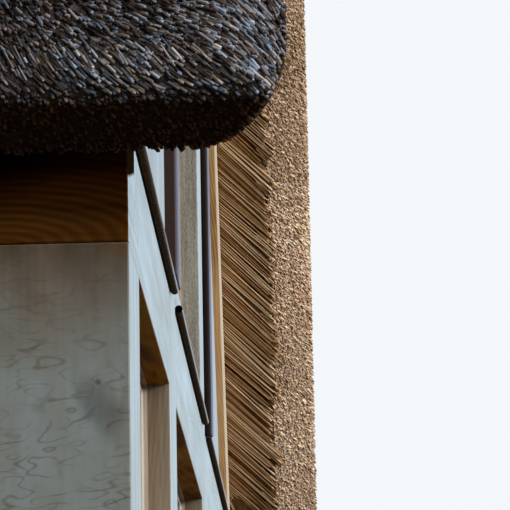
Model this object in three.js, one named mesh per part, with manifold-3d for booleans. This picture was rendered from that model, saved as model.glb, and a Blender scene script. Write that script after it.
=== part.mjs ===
// A small thatched cottage: an oak frame of posts, beams and rafters on a brick plinth, with
// glass between the posts and one thick roof of water reed. The gables face +X and -X, and
// the eaves face -Y and +Y. Millimetres, +Z up, origin on the ground in the middle.
import * as THREE from 'three';
import { mergeVertices } from 'three/addons/utils/BufferGeometryUtils.js';
import Module from 'manifold-3d';

const wasm = await Module();
wasm.setup();

// Driving dimensions
const LENGTH = 6200;                 // outside of one gable to outside of the other, along X
const SPAN = 5300;                   // outside of one eaves wall to the other, along Y
const POST = 270;                    // side of a square oak post, and the thickness of a wall
const PITCH = THREE.MathUtils.degToRad(57);
const PLINTH_TOP = 700;
const FLOOR_TOP = 200;
const BEAM_BOTTOM = 2900;
const BEAM_TOP = 3150;
const FIT = 0.3;                     // clearance between pieces that touch

// Gable bays, measured along Y from the middle of the gable
const GABLE_POSTS = [-1320, 390];    // near edge of each of the two tall gable posts
const COLLAR_BOTTOM = 4850;
const COLLAR_DEPTH = 200;
const RAFTER_DEPTH = 180;
const RAFTER_THICKNESS = 200;

// Infill
const GLASS_THICKNESS = 24;
const GLASS_RECESS = 105;            // outside of the wall to the outside of the glass
const BOARD_THICKNESS = 60;
const SOUTH_BOARD_RECESS = 6;         // outside of the gable to the boards south of the window
const NORTH_BOARD_RECESS = 18;
const DOOR_WIDTH = 1000;
const DOOR_TOP = 2300;
const DOOR_MIDDLE = -1480;           // along X
const DOOR_THICKNESS = 60;
const DOOR_RECESS = 60;

// Thatch
const THATCH = 360;                  // thickness, square to the slope
const THATCH_UNDERSIDE = 3180;       // height of the underside over the outside of the wall
const EAVES_REACH = 520;             // wall to the outer lip of the eaves
const EAVES_CUT_REACH = 350;         // wall to the lowest line of the cut eaves
const EAVES_CUT_BOTTOM = 2960;
const LIP_ROUND = 90;
const COURSE = 480;                  // one course of reed, down the slope
const COURSE_RELIEF = 18;            // how far its butts stand over the course below
const COURSE_FALL = 70;              // stretch over which they fall back to it
const NORTH_VERGE = 325;             // gable to the outside of the verge
const SOUTH_VERGE = 292;
const VERGE_ROUND = 150;             // rounding of a verge, square to the slope
const VERGE_ROUND_LENGTH = 130;      // and along the ridge
const CORNER_ROUND = 170;            // between the eaves and the verge, upwards
const CORNER_ROUND_LENGTH = 120;     // and along the eaves
const ROUND_STEPS = 5;               // facets in a quarter round
const RIDGE_SKIRT = 560;             // length of the ridge capping down each slope
const RIDGE_THICKNESS = 70;

// Derived places
const GABLE_X = LENGTH / 2;
const EAVES_Y = SPAN / 2;
const INSIDE_X = GABLE_X - POST;
const INSIDE_Y = EAVES_Y - POST;
const SLOPE = Math.tan(PITCH);
const ALONG = 1 / Math.cos(PITCH);   // upright height of a unit of thickness

// Height of a line that lies a given depth under the thatch, at a distance from the ridge
function rakeHeight(distance, depth) {
  return THATCH_UNDERSIDE + (EAVES_Y - distance) * SLOPE - depth * ALONG;
}

// Distance from the ridge at which that line reaches a given height
function rakeDistance(height, depth) {
  return EAVES_Y - (height + depth * ALONG - THATCH_UNDERSIDE) / SLOPE;
}

const oak = { color: 0xb7a88d, roughness: 0.8, metalness: 0 };
const shadedOak = { color: 0x7d5c38, roughness: 0.8, metalness: 0 };
const boards = { color: 0xa3896a, roughness: 0.85, metalness: 0 };
const reed = { color: 0x8a6f4f, roughness: 1, metalness: 0 };
const ridgeReed = { color: 0x6e5c47, roughness: 1, metalness: 0 };
const brick = { color: 0x8c5a46, roughness: 0.9, metalness: 0 };
const glazing = { color: 0xb9cdd6, roughness: 0.1, metalness: 0 };
const flooring = { color: 0x9c8058, roughness: 0.7, metalness: 0 };

const cottage = new THREE.Group();

function addPiece(name, geometry, finish) {
  const mesh = new THREE.Mesh(geometry, new THREE.MeshStandardMaterial(finish));
  mesh.name = name;
  cottage.add(mesh);
}

// A box between two corners, each side drawn in by its clearance
function boxBetween(low, high, clearance = [0, 0, 0]) {
  const size = low.map((value, axis) => high[axis] - value - 2 * clearance[axis]);
  const box = new THREE.BoxGeometry(...size);
  const middle = low.map((value, axis) => (value + high[axis]) / 2);
  return box.translate(...middle);
}

function outline(points) {
  return new THREE.Shape(points.map(([across, up]) => new THREE.Vector2(across, up)));
}

// A flat shape drawn in Y and Z, given a thickness along X from one face to the other
function gableSlab(shape, fromX, toX) {
  const slab = new THREE.ExtrudeGeometry(shape, { depth: toX - fromX, bevelEnabled: false });
  const toGable = new THREE.Matrix4().makeBasis(
    new THREE.Vector3(0, 1, 0), new THREE.Vector3(0, 0, 1), new THREE.Vector3(1, 0, 0));
  return slab.applyMatrix4(toGable).translate(fromX, 0, 0);
}

// Joining and cutting
function toSolid(geometry) {
  const bare = geometry.clone();
  bare.deleteAttribute('normal');
  bare.deleteAttribute('uv');
  const merged = mergeVertices(bare, 0.001);
  return new wasm.Manifold(new wasm.Mesh({
    numProp: 3,
    vertProperties: new Float32Array(merged.attributes.position.array),
    triVerts: new Uint32Array(merged.index.array),
  }));
}

function toGeometry(solid) {
  const mesh = solid.getMesh();
  const geometry = new THREE.BufferGeometry();
  geometry.setAttribute('position', new THREE.BufferAttribute(mesh.vertProperties, 3));
  geometry.setIndex(new THREE.BufferAttribute(mesh.triVerts, 1));
  geometry.computeVertexNormals();
  return geometry;
}

// Brick plinth: a ring under the frame, with a gap for the doorway in the south wall
const doorLeft = DOOR_MIDDLE - DOOR_WIDTH / 2;
const doorRight = DOOR_MIDDLE + DOOR_WIDTH / 2;

function plinthGeometry() {
  const ring = outline([
    [doorRight, -EAVES_Y], [GABLE_X, -EAVES_Y], [GABLE_X, EAVES_Y], [-GABLE_X, EAVES_Y],
    [-GABLE_X, -EAVES_Y], [doorLeft, -EAVES_Y], [doorLeft, -INSIDE_Y], [-INSIDE_X, -INSIDE_Y],
    [-INSIDE_X, INSIDE_Y], [INSIDE_X, INSIDE_Y], [INSIDE_X, -INSIDE_Y], [doorRight, -INSIDE_Y],
  ]);
  return new THREE.ExtrudeGeometry(ring, { depth: PLINTH_TOP - FIT, bevelEnabled: false });
}
addPiece('brick_plinth', plinthGeometry(), brick);

// Ground floor: a slab inside the plinth, with a tongue that makes the threshold
function groundFloorGeometry() {
  const x = INSIDE_X - FIT;
  const y = INSIDE_Y - FIT;
  const slab = outline([
    [doorLeft + FIT, -EAVES_Y], [doorRight - FIT, -EAVES_Y], [doorRight - FIT, -y], [x, -y],
    [x, y], [-x, y], [-x, -y], [doorLeft + FIT, -y],
  ]);
  return new THREE.ExtrudeGeometry(slab, { depth: FLOOR_TOP, bevelEnabled: false });
}
addPiece('ground_floor', groundFloorGeometry(), flooring);

const UPPER_FLOOR_THICKNESS = 200;
addPiece('upper_floor', boxBetween(
  [-INSIDE_X, -INSIDE_Y, BEAM_TOP - UPPER_FLOOR_THICKNESS],
  [INSIDE_X, INSIDE_Y, BEAM_TOP], [FIT, FIT, 0]), flooring);

// Posts
function post(name, x, y, top) {
  addPiece(name, boxBetween([x, y, PLINTH_TOP], [x + POST, y + POST, top], [0, 0, FIT]), oak);
}
const sides = [['east', 1], ['west', -1]];
for (const [side, way] of sides) {
  const x = way > 0 ? INSIDE_X : -GABLE_X;
  post(`corner_post_south_${side}`, x, -EAVES_Y, BEAM_BOTTOM);
  post(`corner_post_north_${side}`, x, INSIDE_Y, BEAM_BOTTOM);
  GABLE_POSTS.forEach((y, index) => post(`gable_post_${side}_${index + 1}`, x, y, COLLAR_BOTTOM));
}
post('wall_post_south', -POST / 2, -EAVES_Y, BEAM_BOTTOM);
post('wall_post_north', -POST / 2, INSIDE_Y, BEAM_BOTTOM);

// Wall plates run the whole length over the posts of the eaves walls
addPiece('wall_plate_south', boxBetween(
  [-GABLE_X, -EAVES_Y, BEAM_BOTTOM], [GABLE_X, -INSIDE_Y, BEAM_TOP]), oak);
addPiece('wall_plate_north', boxBetween(
  [-GABLE_X, INSIDE_Y, BEAM_BOTTOM], [GABLE_X, EAVES_Y, BEAM_TOP]), oak);

// Bays of a gable: the clear stretch between one post and the next, along Y
const bays = [
  [-INSIDE_Y, GABLE_POSTS[0]],
  [GABLE_POSTS[0] + POST, GABLE_POSTS[1]],
  [GABLE_POSTS[1] + POST, INSIDE_Y],
];

// The low and high X of a layer that starts some way behind a gable's outside
function layerX(way, recess, thickness) {
  const outer = way * (GABLE_X - recess);
  const inner = way * (GABLE_X - recess - thickness);
  return [Math.min(outer, inner), Math.max(outer, inner)];
}

// Everything between the posts of one gable. The bays lie alike in both gables.
function gableInfill(side, way) {
  const [beamLow, beamHigh] = layerX(way, 0, POST);
  const [glassLow, glassHigh] = layerX(way, GLASS_RECESS, GLASS_THICKNESS);

  bays.forEach(([low, high], index) => {
    addPiece(`gable_beam_${side}_${index + 1}`, boxBetween(
      [beamLow, low, BEAM_BOTTOM], [beamHigh, high, BEAM_TOP], [0, FIT, 0]), oak);
    addPiece(`window_${side}_lower_${index + 1}`, boxBetween(
      [glassLow, low, PLINTH_TOP], [glassHigh, high, BEAM_BOTTOM], [0, FIT, FIT]), glazing);
  });
  addPiece(`window_${side}_upper`, boxBetween(
    [glassLow, bays[1][0], BEAM_TOP], [glassHigh, bays[1][1], COLLAR_BOTTOM], [0, FIT, FIT]), glazing);
  const panels = [
    ['south', rakedPanel(bays[0][1], -1), SOUTH_BOARD_RECESS],
    ['north', rakedPanel(bays[2][0], 1), NORTH_BOARD_RECESS],
    ['top', apexPanel(), SOUTH_BOARD_RECESS],
  ];
  for (const [place, shape, recess] of panels) {
    const layer = layerX(way, recess, BOARD_THICKNESS);
    addPiece(`gable_boards_${side}_${place}`, gableSlab(shape, ...layer), boards);
  }
}

// The panel between a gable post, the gable beam, the collar and the rafter
function rakedPanel(postEdge, towards) {
  const depth = RAFTER_DEPTH + FIT;
  const low = BEAM_TOP + FIT;
  const high = COLLAR_BOTTOM - FIT;
  const inner = postEdge + towards * FIT;
  const points = [
    [inner, low], [towards * rakeDistance(low, depth), low],
    [towards * rakeDistance(high, depth), high], [inner, high],
  ];
  return outline(towards > 0 ? points : points.reverse());
}

// The triangle over the collar
function apexPanel() {
  const depth = RAFTER_DEPTH + FIT;
  const low = COLLAR_BOTTOM + COLLAR_DEPTH + FIT;
  const reach = rakeDistance(low, depth);
  return outline([[-reach, low], [reach, low], [0, rakeHeight(0, depth)]]);
}

for (const [side, way] of sides) {
  gableInfill(side, way);
}

// Eaves walls: glass in three of their four bays, and the doorway in the fourth
function eavesGlass(name, low, high, way) {
  const outer = way * (EAVES_Y - GLASS_RECESS);
  const inner = way * (EAVES_Y - GLASS_RECESS - GLASS_THICKNESS);
  addPiece(name, boxBetween([low, Math.min(outer, inner), PLINTH_TOP],
    [high, Math.max(outer, inner), BEAM_BOTTOM], [FIT, 0, FIT]), glazing);
}
eavesGlass('window_south', POST / 2, INSIDE_X, -1);
eavesGlass('window_north_1', POST / 2, INSIDE_X, 1);
eavesGlass('window_north_2', -INSIDE_X, -POST / 2, 1);

// Boards beside and over the doorway, as one frame without a foot
function doorSurroundGeometry() {
  const low = PLINTH_TOP + FIT;
  const left = -INSIDE_X + FIT;
  const right = -POST / 2 - FIT;
  const shape = outline([
    [left, low], [doorLeft, low], [doorLeft, DOOR_TOP], [doorRight, DOOR_TOP],
    [doorRight, low], [right, low], [right, BEAM_BOTTOM - FIT], [left, BEAM_BOTTOM - FIT],
  ]);
  const slab = new THREE.ExtrudeGeometry(shape, { depth: DOOR_THICKNESS, bevelEnabled: false });
  return slab.rotateX(Math.PI / 2).translate(0, -EAVES_Y + DOOR_RECESS + DOOR_THICKNESS, 0);
}
addPiece('door_surround', doorSurroundGeometry(), boards);
addPiece('door', boxBetween(
  [doorLeft, -EAVES_Y + DOOR_RECESS, FLOOR_TOP],
  [doorRight, -EAVES_Y + DOOR_RECESS + DOOR_THICKNESS, DOOR_TOP], [FIT, 0, FIT]), boards);

// Rafters with their collar: one pair in each gable and one in the middle of the roof
function trussShape() {
  const foot = BEAM_TOP + FIT;
  const top = rakeDistance(foot, FIT);
  const toe = Math.min(EAVES_Y, top);
  const shape = outline([
    [toe, foot], [toe, rakeHeight(toe, FIT)], [0, rakeHeight(0, FIT)],
    [-toe, rakeHeight(toe, FIT)], [-toe, foot], [-rakeDistance(foot, RAFTER_DEPTH), foot],
    [-rakeDistance(COLLAR_BOTTOM, RAFTER_DEPTH), COLLAR_BOTTOM],
    [rakeDistance(COLLAR_BOTTOM, RAFTER_DEPTH), COLLAR_BOTTOM],
    [rakeDistance(foot, RAFTER_DEPTH), foot],
  ]);
  const collarTop = COLLAR_BOTTOM + COLLAR_DEPTH;
  const reach = rakeDistance(collarTop, RAFTER_DEPTH);
  const opening = new THREE.Path([
    new THREE.Vector2(-reach, collarTop),
    new THREE.Vector2(0, rakeHeight(0, RAFTER_DEPTH)),
    new THREE.Vector2(reach, collarTop),
  ]);
  shape.holes.push(opening);
  return shape;
}
const trussPlaces = [
  ['rafters_east', GABLE_X - RAFTER_THICKNESS],
  ['rafters_middle', -RAFTER_THICKNESS / 2],
  ['rafters_west', -GABLE_X],
];
for (const [name, fromX] of trussPlaces) {
  addPiece(name, gableSlab(trussShape(), fromX, fromX + RAFTER_THICKNESS), shadedOak);
}

// Thatch: one thick section with a rounded lip at the eaves. Each slope is cut from it by a
// slab with rounded verges that lies along the slope, and by one that rounds the eaves' corners.
const ROOF_TALL = 9000;              // longer than any slope

// The outer face from a place near the eaves up to one near the ridge, as soft courses
function addCourses(shape, eavesEnd, ridgeEnd) {
  const rise = eavesEnd - ridgeEnd;
  const count = Math.round(rise / Math.cos(PITCH) / COURSE);
  for (let index = 1; index <= count; index += 1) {
    const butts = eavesEnd - index * rise / count;
    const below = butts + COURSE_FALL * Math.cos(PITCH);
    shape.lineTo(below, rakeHeight(below, COURSE_RELIEF - THATCH));
    shape.lineTo(butts, rakeHeight(butts, -THATCH));
  }
}

function thatchSection() {
  const lip = EAVES_Y + EAVES_REACH;
  const cut = EAVES_Y + EAVES_CUT_REACH;
  const lipHeight = rakeHeight(lip, -THATCH);
  const surface = lip - LIP_ROUND * Math.cos(PITCH);
  const cutAngle = Math.atan2(lipHeight - EAVES_CUT_BOTTOM, lip - cut);
  const nearLip = [
    lip - LIP_ROUND * Math.cos(cutAngle), lipHeight - LIP_ROUND * Math.sin(cutAngle),
  ];
  const shape = new THREE.Shape();
  shape.moveTo(FIT / 2, rakeHeight(FIT / 2, 0));
  shape.lineTo(rakeDistance(BEAM_TOP, 0), BEAM_TOP);
  shape.lineTo(cut, EAVES_CUT_BOTTOM);
  shape.lineTo(...nearLip);
  shape.quadraticCurveTo(lip, lipHeight, surface, rakeHeight(surface, -THATCH));
  addCourses(shape, surface, RIDGE_SKIRT * Math.cos(PITCH));
  shape.lineTo(FIT / 2, rakeHeight(FIT / 2, -THATCH));
  shape.closePath();
  return shape;
}

// A rectangle with elliptical corners, centred across and standing from low to high
function softRectangle(halfAcross, low, high, roundAcross, roundUp) {
  const shape = new THREE.Shape();
  const corners = [[1, high, 0], [-1, high, 1], [-1, low, 2], [1, low, 3]];
  for (const [way, up, quarter] of corners) {
    const centreAcross = way * (halfAcross - roundAcross);
    const centreUp = up === high ? high - roundUp : low + roundUp;
    for (let step = 0; step <= ROUND_STEPS; step += 1) {
      const angle = (quarter + step / ROUND_STEPS) * Math.PI / 2;
      const across = centreAcross + roundAcross * Math.cos(angle);
      const along = centreUp + roundUp * Math.sin(angle);
      if (quarter === 0 && step === 0) {
        shape.moveTo(across, along);
      } else {
        shape.lineTo(across, along);
      }
    }
  }
  shape.closePath();
  return shape;
}

// The slab that lies along the north slope: its section is drawn in X and square to the slope
function slopeSlab(half) {
  const section = softRectangle(half, 0, THATCH, VERGE_ROUND_LENGTH, VERGE_ROUND);
  const slab = new THREE.ExtrudeGeometry(section, { depth: 2 * ROOF_TALL, bevelEnabled: false });
  const across = new THREE.Vector3(1, 0, 0);
  const outwards = new THREE.Vector3(0, Math.sin(PITCH), Math.cos(PITCH));
  const along = new THREE.Vector3().crossVectors(across, outwards);
  const place = new THREE.Matrix4().makeBasis(across, outwards, along);
  slab.applyMatrix4(place);
  return slab.translate(-along.x * ROOF_TALL, EAVES_Y - along.y * ROOF_TALL,
    THATCH_UNDERSIDE - along.z * ROOF_TALL);
}

// The slab seen from the eaves: it rounds the corners between the eaves and the verges
function eavesSlab(half) {
  const front = softRectangle(half, EAVES_CUT_BOTTOM - 1, ROOF_TALL, CORNER_ROUND_LENGTH, CORNER_ROUND);
  const slab = new THREE.ExtrudeGeometry(front, { depth: SPAN, bevelEnabled: false });
  return slab.rotateX(Math.PI / 2).translate(0, SPAN, 0);
}

// One slope, drawn for the north side, with its verges a given way out from the gables
function thatchSlope(verge) {
  const half = GABLE_X + verge;
  const slope = toSolid(gableSlab(thatchSection(), -half, half))
    .intersect(toSolid(slopeSlab(half)))
    .intersect(toSolid(eavesSlab(half)));
  return toGeometry(slope);
}
addPiece('thatch_north', thatchSlope(NORTH_VERGE), reed);
addPiece('thatch_south', thatchSlope(SOUTH_VERGE).rotateZ(Math.PI), reed);

// Ridge capping: a saddle of reed over the top of both slopes
function ridgeShape() {
  const across = RIDGE_SKIRT * Math.cos(PITCH);
  const under = -THATCH - FIT;
  const over = under - RIDGE_THICKNESS;
  const edge = RIDGE_THICKNESS * Math.sin(PITCH);
  const skirtTop = across + edge;
  return outline([
    [0, rakeHeight(0, under)], [-across, rakeHeight(across, under)],
    [-skirtTop, rakeHeight(skirtTop, over)], [0, rakeHeight(0, over)],
    [skirtTop, rakeHeight(skirtTop, over)], [across, rakeHeight(across, under)],
  ]);
}
const ridgeHalf = GABLE_X + SOUTH_VERGE - VERGE_ROUND_LENGTH / 2;
addPiece('thatch_ridge', gableSlab(ridgeShape(), -ridgeHalf, ridgeHalf), ridgeReed);

export default cottage;
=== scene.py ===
import math

import bmesh
import bpy
import numpy as np
from mathutils import Matrix, Vector


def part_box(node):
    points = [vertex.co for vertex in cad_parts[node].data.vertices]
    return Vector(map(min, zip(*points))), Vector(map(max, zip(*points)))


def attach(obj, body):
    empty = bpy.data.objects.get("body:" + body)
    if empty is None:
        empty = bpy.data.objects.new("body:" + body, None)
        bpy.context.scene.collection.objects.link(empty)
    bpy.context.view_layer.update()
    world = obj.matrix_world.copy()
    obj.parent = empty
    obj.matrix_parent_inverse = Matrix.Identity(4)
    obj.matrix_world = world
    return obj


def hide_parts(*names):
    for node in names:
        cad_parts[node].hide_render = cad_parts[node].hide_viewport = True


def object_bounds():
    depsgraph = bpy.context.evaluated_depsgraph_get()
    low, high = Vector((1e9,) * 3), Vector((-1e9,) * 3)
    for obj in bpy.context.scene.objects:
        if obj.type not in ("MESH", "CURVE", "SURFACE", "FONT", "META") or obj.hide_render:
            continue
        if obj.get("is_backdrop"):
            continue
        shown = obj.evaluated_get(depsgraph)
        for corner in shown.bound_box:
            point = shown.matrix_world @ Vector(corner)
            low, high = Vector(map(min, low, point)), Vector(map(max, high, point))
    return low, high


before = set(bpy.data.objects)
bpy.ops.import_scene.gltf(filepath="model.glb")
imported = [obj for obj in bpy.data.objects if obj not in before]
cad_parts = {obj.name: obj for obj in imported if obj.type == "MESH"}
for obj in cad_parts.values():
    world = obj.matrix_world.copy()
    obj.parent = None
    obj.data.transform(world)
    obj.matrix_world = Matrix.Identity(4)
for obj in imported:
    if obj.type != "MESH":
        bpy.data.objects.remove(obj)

cad_low, cad_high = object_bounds()

# The camera stands close beside the east gable, at eye height. Its long lens looks up along
# the wall, under the near eaves, to the far verge of the roof.
EYE = Vector((3.4105, -7.4327, 1.7289))
YAW = math.radians(-1.1007)
LIFT = math.radians(13.4112)
ROLL = math.radians(-1.2081)
LENS = 200.0
SENSOR = 36.0
SIGHT_END = 500.0


def placed(name, data):
    """An object in the scene, made from its data."""
    made = bpy.data.objects.new(name, data)
    bpy.context.scene.collection.objects.link(made)
    return made


forward = Vector((math.sin(YAW) * math.cos(LIFT), math.cos(YAW) * math.cos(LIFT), math.sin(LIFT)))
level = Vector((math.cos(YAW), -math.sin(YAW), 0.0))
right = math.cos(ROLL) * level + math.sin(ROLL) * level.cross(forward)
turn = Matrix((right, right.cross(forward), -forward)).transposed()

lens = bpy.data.cameras.new("camera")
lens.lens = LENS
lens.sensor_fit = "HORIZONTAL"
lens.sensor_width = SENSOR
lens.clip_end = SIGHT_END
camera = placed("camera", lens)
camera.matrix_world = Matrix.Translation(EYE) @ turn.to_4x4()
bpy.context.scene.camera = camera
bpy.context.scene.view_settings.view_transform = "Standard"

# The floor is plain and pale, and throws no light up under the eaves. The light is soft: a
# bright cool side on the gable, a warmer fill on the eaves wall and a low one from behind.
FLOOR_HALF = 150.0
FLOOR_COLOUR = (0.80, 0.81, 0.82, 1.0)
BACKDROP = (0.90, 0.93, 0.96, 1.0)
SKY_LIGHT = (0.10, 0.115, 0.135, 1.0)
GROUND_LIGHT = (0.020, 0.014, 0.009, 1.0)
SUNS = {
    "gable_light": ((0.93, -0.16, 0.26), (0.86, 0.97, 1.12), 4.1, 14.0),
    "eaves_light": ((0.36, -0.88, 0.31), (1.0, 0.96, 0.89), 1.15, 40.0),
    "rear_light": ((-0.62, 0.66, 0.42), (1.0, 0.96, 0.90), 1.5, 20.0),
}
HORIZON = (-0.1, 0.25)


class Wire:
    """One output in a node tree. A sum or comparison of wires adds the nodes that work it out."""

    def __init__(self, socket):
        self.socket = socket
        self.tree = socket.id_data

    def beside(self, key):
        """Another output of the same node."""
        return Wire(self.socket.node.outputs[key])

    def __add__(self, other):
        return maths("ADD", self, other)

    def __radd__(self, other):
        return maths("ADD", other, self)

    def __sub__(self, other):
        return maths("SUBTRACT", self, other)

    def __rsub__(self, other):
        return maths("SUBTRACT", other, self)

    def __mul__(self, other):
        return maths("MULTIPLY", self, other)

    def __truediv__(self, other):
        return maths("DIVIDE", self, other)

    def __abs__(self):
        return maths("ABSOLUTE", self)

    def __gt__(self, other):
        return maths("GREATER_THAN", self, other)

    def __lt__(self, other):
        return maths("LESS_THAN", self, other)


def node(kind, sockets, output=0, tree=None, **settings):
    """A new node, as the wire of one output. Its tree is given, or is that of the wires it takes."""
    tree = tree or next(value.tree for value in sockets.values() if isinstance(value, Wire))
    made = tree.nodes.new("ShaderNode" + kind)
    for key, value in settings.items():
        setattr(made, key, value)
    for key, value in sockets.items():
        if isinstance(value, Wire):
            tree.links.new(value.socket, made.inputs[key])
        else:
            made.inputs[key].default_value = value
    return Wire(made.outputs[output])


def maths(operation, first, second=0.0):
    return node("Math", {0: first, 1: second}, operation=operation)


def parts(vector):
    """The three numbers of a vector."""
    return [Wire(output) for output in node("SeparateXYZ", {0: vector}).socket.node.outputs]


def span(amount, start, end, most=1.0, least=0.0, smooth=False):
    """Goes from least to most while an amount goes from start to end, and is level beyond them."""
    sockets = {"Value": amount, "From Min": start, "From Max": end, "To Min": least, "To Max": most}
    return node("MapRange", sockets, interpolation_type="SMOOTHSTEP" if smooth else "LINEAR")


def mixed(amount, first, second, how="MIX"):
    return node("Mix", {0: amount, 6: first, 7: second}, 2, data_type="RGBA", blend_type=how)


def new_finish(name, roughness, gloss=0.5, more=None):
    """A material with a plain shader, and its node tree."""
    made = bpy.data.materials.new(name)
    made.use_nodes = True
    inputs = made.node_tree.nodes["Principled BSDF"].inputs
    for key, value in {"Roughness": roughness, "Specular IOR Level": gloss, **(more or {})}.items():
        inputs[key].default_value = value
    return made, made.node_tree


def new_piece(name, bm):
    """A mesh object from a bmesh, which it uses up."""
    mesh = bpy.data.meshes.new(name)
    bm.to_mesh(mesh)
    bm.free()
    return placed(name, mesh)


floor_mesh = bmesh.new()
bmesh.ops.create_grid(floor_mesh, x_segments=1, y_segments=1, size=FLOOR_HALF)
floor = new_piece("floor", floor_mesh)
floor_finish, _ = new_finish("floor_pale", 0.9, more={"Base Color": FLOOR_COLOUR})
floor.data.materials.append(floor_finish)
floor.visible_diffuse = False
floor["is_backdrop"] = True

for name, (towards, colour, strength, softness) in SUNS.items():
    sun = bpy.data.lights.new(name, "SUN")
    sun.color = colour
    sun.energy = strength
    sun.angle = math.radians(softness)
    placed(name, sun).rotation_euler = Vector(towards).to_track_quat("Z", "Y").to_euler()

world = bpy.data.worlds.new("studio")
world.use_nodes = True
bpy.context.scene.world = world
sky = world.node_tree
height = parts(node("TexCoord", {}, "Generated", sky))[2]
light = mixed(span(height, *HORIZON), GROUND_LIGHT, SKY_LIGHT)
shown = mixed(node("LightPath", {}, "Is Camera Ray", sky), light, BACKDROP)
sky.links.new(shown.socket, sky.nodes["Background"].inputs["Color"])

# The brick plinth carries the frame. Stretchers are laid in lime mortar, and a course of
# bricks on edge finishes the top. The mortar is raked back a little from the faces.
BRICK = Vector((0.215, 0.105, 0.0))
MORTAR = 0.010
STRETCHER_COURSES = 7
ON_EDGE = 0.065
ON_EDGE_HIGH = 0.105
RAKED_BACK = 0.009
BRICK_ARRIS = 0.005
SHORTEST_BRICK = 0.03
BRICK_COLOURS = ((0.0, (0.17, 0.062, 0.040)), (0.5, (0.30, 0.115, 0.070)), (1.0, (0.41, 0.205, 0.135)))
MORTAR_COLOURS = ((0.0, (0.30, 0.27, 0.23)), (1.0, (0.46, 0.43, 0.37)))
SOOT = (0.16, 0.13, 0.11, 1.0)
SOOT_SCALE = 3.0
DARKER = -0.1


def ramp(amount, stops):
    """A colour from an amount, by stops of place and colour."""
    made = node("ValToRGB", {"Fac": amount})
    elements = made.socket.node.color_ramp.elements
    while len(elements) < len(stops):
        elements.new(1.0)
    for element, (place, colour) in zip(elements, stops):
        element.position = place
        element.color = (*colour, 1.0)
    return made


def stretched(vector, scale, shift=(0.0, 0.0, 0.0), turned=(0.0, 0.0, 0.0)):
    return node("Mapping", {"Vector": vector, "Scale": scale, "Location": shift, "Rotation": turned})


def speckle(place, scale, detail=3.0, roughness=0.55, shift=(0.0, 0.0, 0.0)):
    """Soft spots, by one scale or by a scale along each axis."""
    if isinstance(scale, tuple):
        place, scale = stretched(place, scale, shift), 1.0
    sockets = {"Vector": place, "Scale": scale, "Detail": detail, "Roughness": roughness}
    return node("TexNoise", sockets, "Fac")


def attribute(tree, name, output="Fac"):
    return node("Attribute", {}, output, tree, attribute_name=name)


def object_place(tree):
    return node("TexCoord", {}, "Object", tree)


def finished(made, colour, height=None, distance=0.0, strength=1.0):
    """The material with a colour wired to its shader, and a raised surface where one is given."""
    tree = made.node_tree
    inputs = tree.nodes["Principled BSDF"].inputs
    if colour:
        tree.links.new(colour.socket, inputs["Base Color"])
    if height:
        bump = node("Bump", {"Height": height, "Distance": distance, "Strength": strength})
        tree.links.new(bump.socket, inputs["Normal"])
    return made


def masonry_finish(name, stops, grain, toned):
    made, tree = new_finish(name, 0.92)
    place = object_place(tree)
    amount = speckle(place, grain, 5.0) * 0.7 + DARKER
    if toned:
        amount = amount * 0.5 + attribute(tree, "tone") * 0.75
    soot = speckle(place, SOOT_SCALE, 2.0) * 0.5
    colour = mixed(soot, ramp(amount, stops), SOOT, "MULTIPLY")
    return finished(made, colour, speckle(place, grain * 2.2, 4.0), 0.004, 0.8)


def template(bm):
    """The points and faces of a small shape, which the copies share."""
    bm.verts.index_update()
    points = np.array([v.co for v in bm.verts])
    faces = [[v.index for v in f.verts] for f in bm.faces]
    bm.free()
    return points, faces


def write(mesh, name, values, domain="POINT"):
    """Writes an attribute of a mesh: one number or three for each of its points or faces."""
    values = np.asarray(values).astype(np.float32)
    kind, key = ("FLOAT", "value") if values.ndim == 1 else ("FLOAT_VECTOR", "vector")
    mesh.attributes.new(name, kind, domain).data.foreach_set(key, values.ravel())


def join_copies(name, shape, turns, places, values, face_values=None):
    """One mesh of many copies of a shape. turns are 3 by 3, and values hold one number a copy."""
    points, faces = shape
    count = len(places)
    spots = np.einsum("mij,nj->mni", turns, points) + places[:, None, :]
    corners = np.concatenate([np.array(face) for face in faces])
    loops = (corners[None, :] + (np.arange(count) * len(points))[:, None]).ravel()
    totals = np.tile([len(face) for face in faces], count)
    mesh = bpy.data.meshes.new(name)
    mesh.vertices.add(count * len(points))
    mesh.vertices.foreach_set("co", spots.ravel())
    mesh.loops.add(len(loops))
    mesh.loops.foreach_set("vertex_index", loops.astype(np.int32))
    mesh.polygons.add(len(totals))
    starts = np.concatenate([[0], np.cumsum(totals)[:-1]])
    mesh.polygons.foreach_set("loop_start", starts.astype(np.int32))
    for key, amounts in values.items():
        write(mesh, key, np.repeat(amounts, len(points)))
    for key, amounts in (face_values or {}).items():
        write(mesh, key, np.tile(amounts, count), "FACE")
    mesh.update(calc_edges=True)
    return placed(name, mesh)


def join_boxes(name, shape, boxes, chance):
    """One mesh of a unit shape drawn out to each of many boxes, with a tone for each."""
    turns = (boxes[:, 1] - boxes[:, 0])[:, :, None] * np.eye(3)
    tones = chance.uniform(0.0, 1.0, len(boxes))
    return join_copies(name, shape, turns, boxes.mean(axis=1), {"tone": tones})


def painted(piece, finish):
    piece.data.materials.clear()
    piece.data.materials.append(finish)


def part_of_cottage(piece, slot, finish, *nodes):
    """The piece rides on the cottage, has its finish and may stand for CAD nodes."""
    painted(piece, finish)
    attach(piece, "root")
    if nodes:
        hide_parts(*nodes)
    return piece


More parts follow.
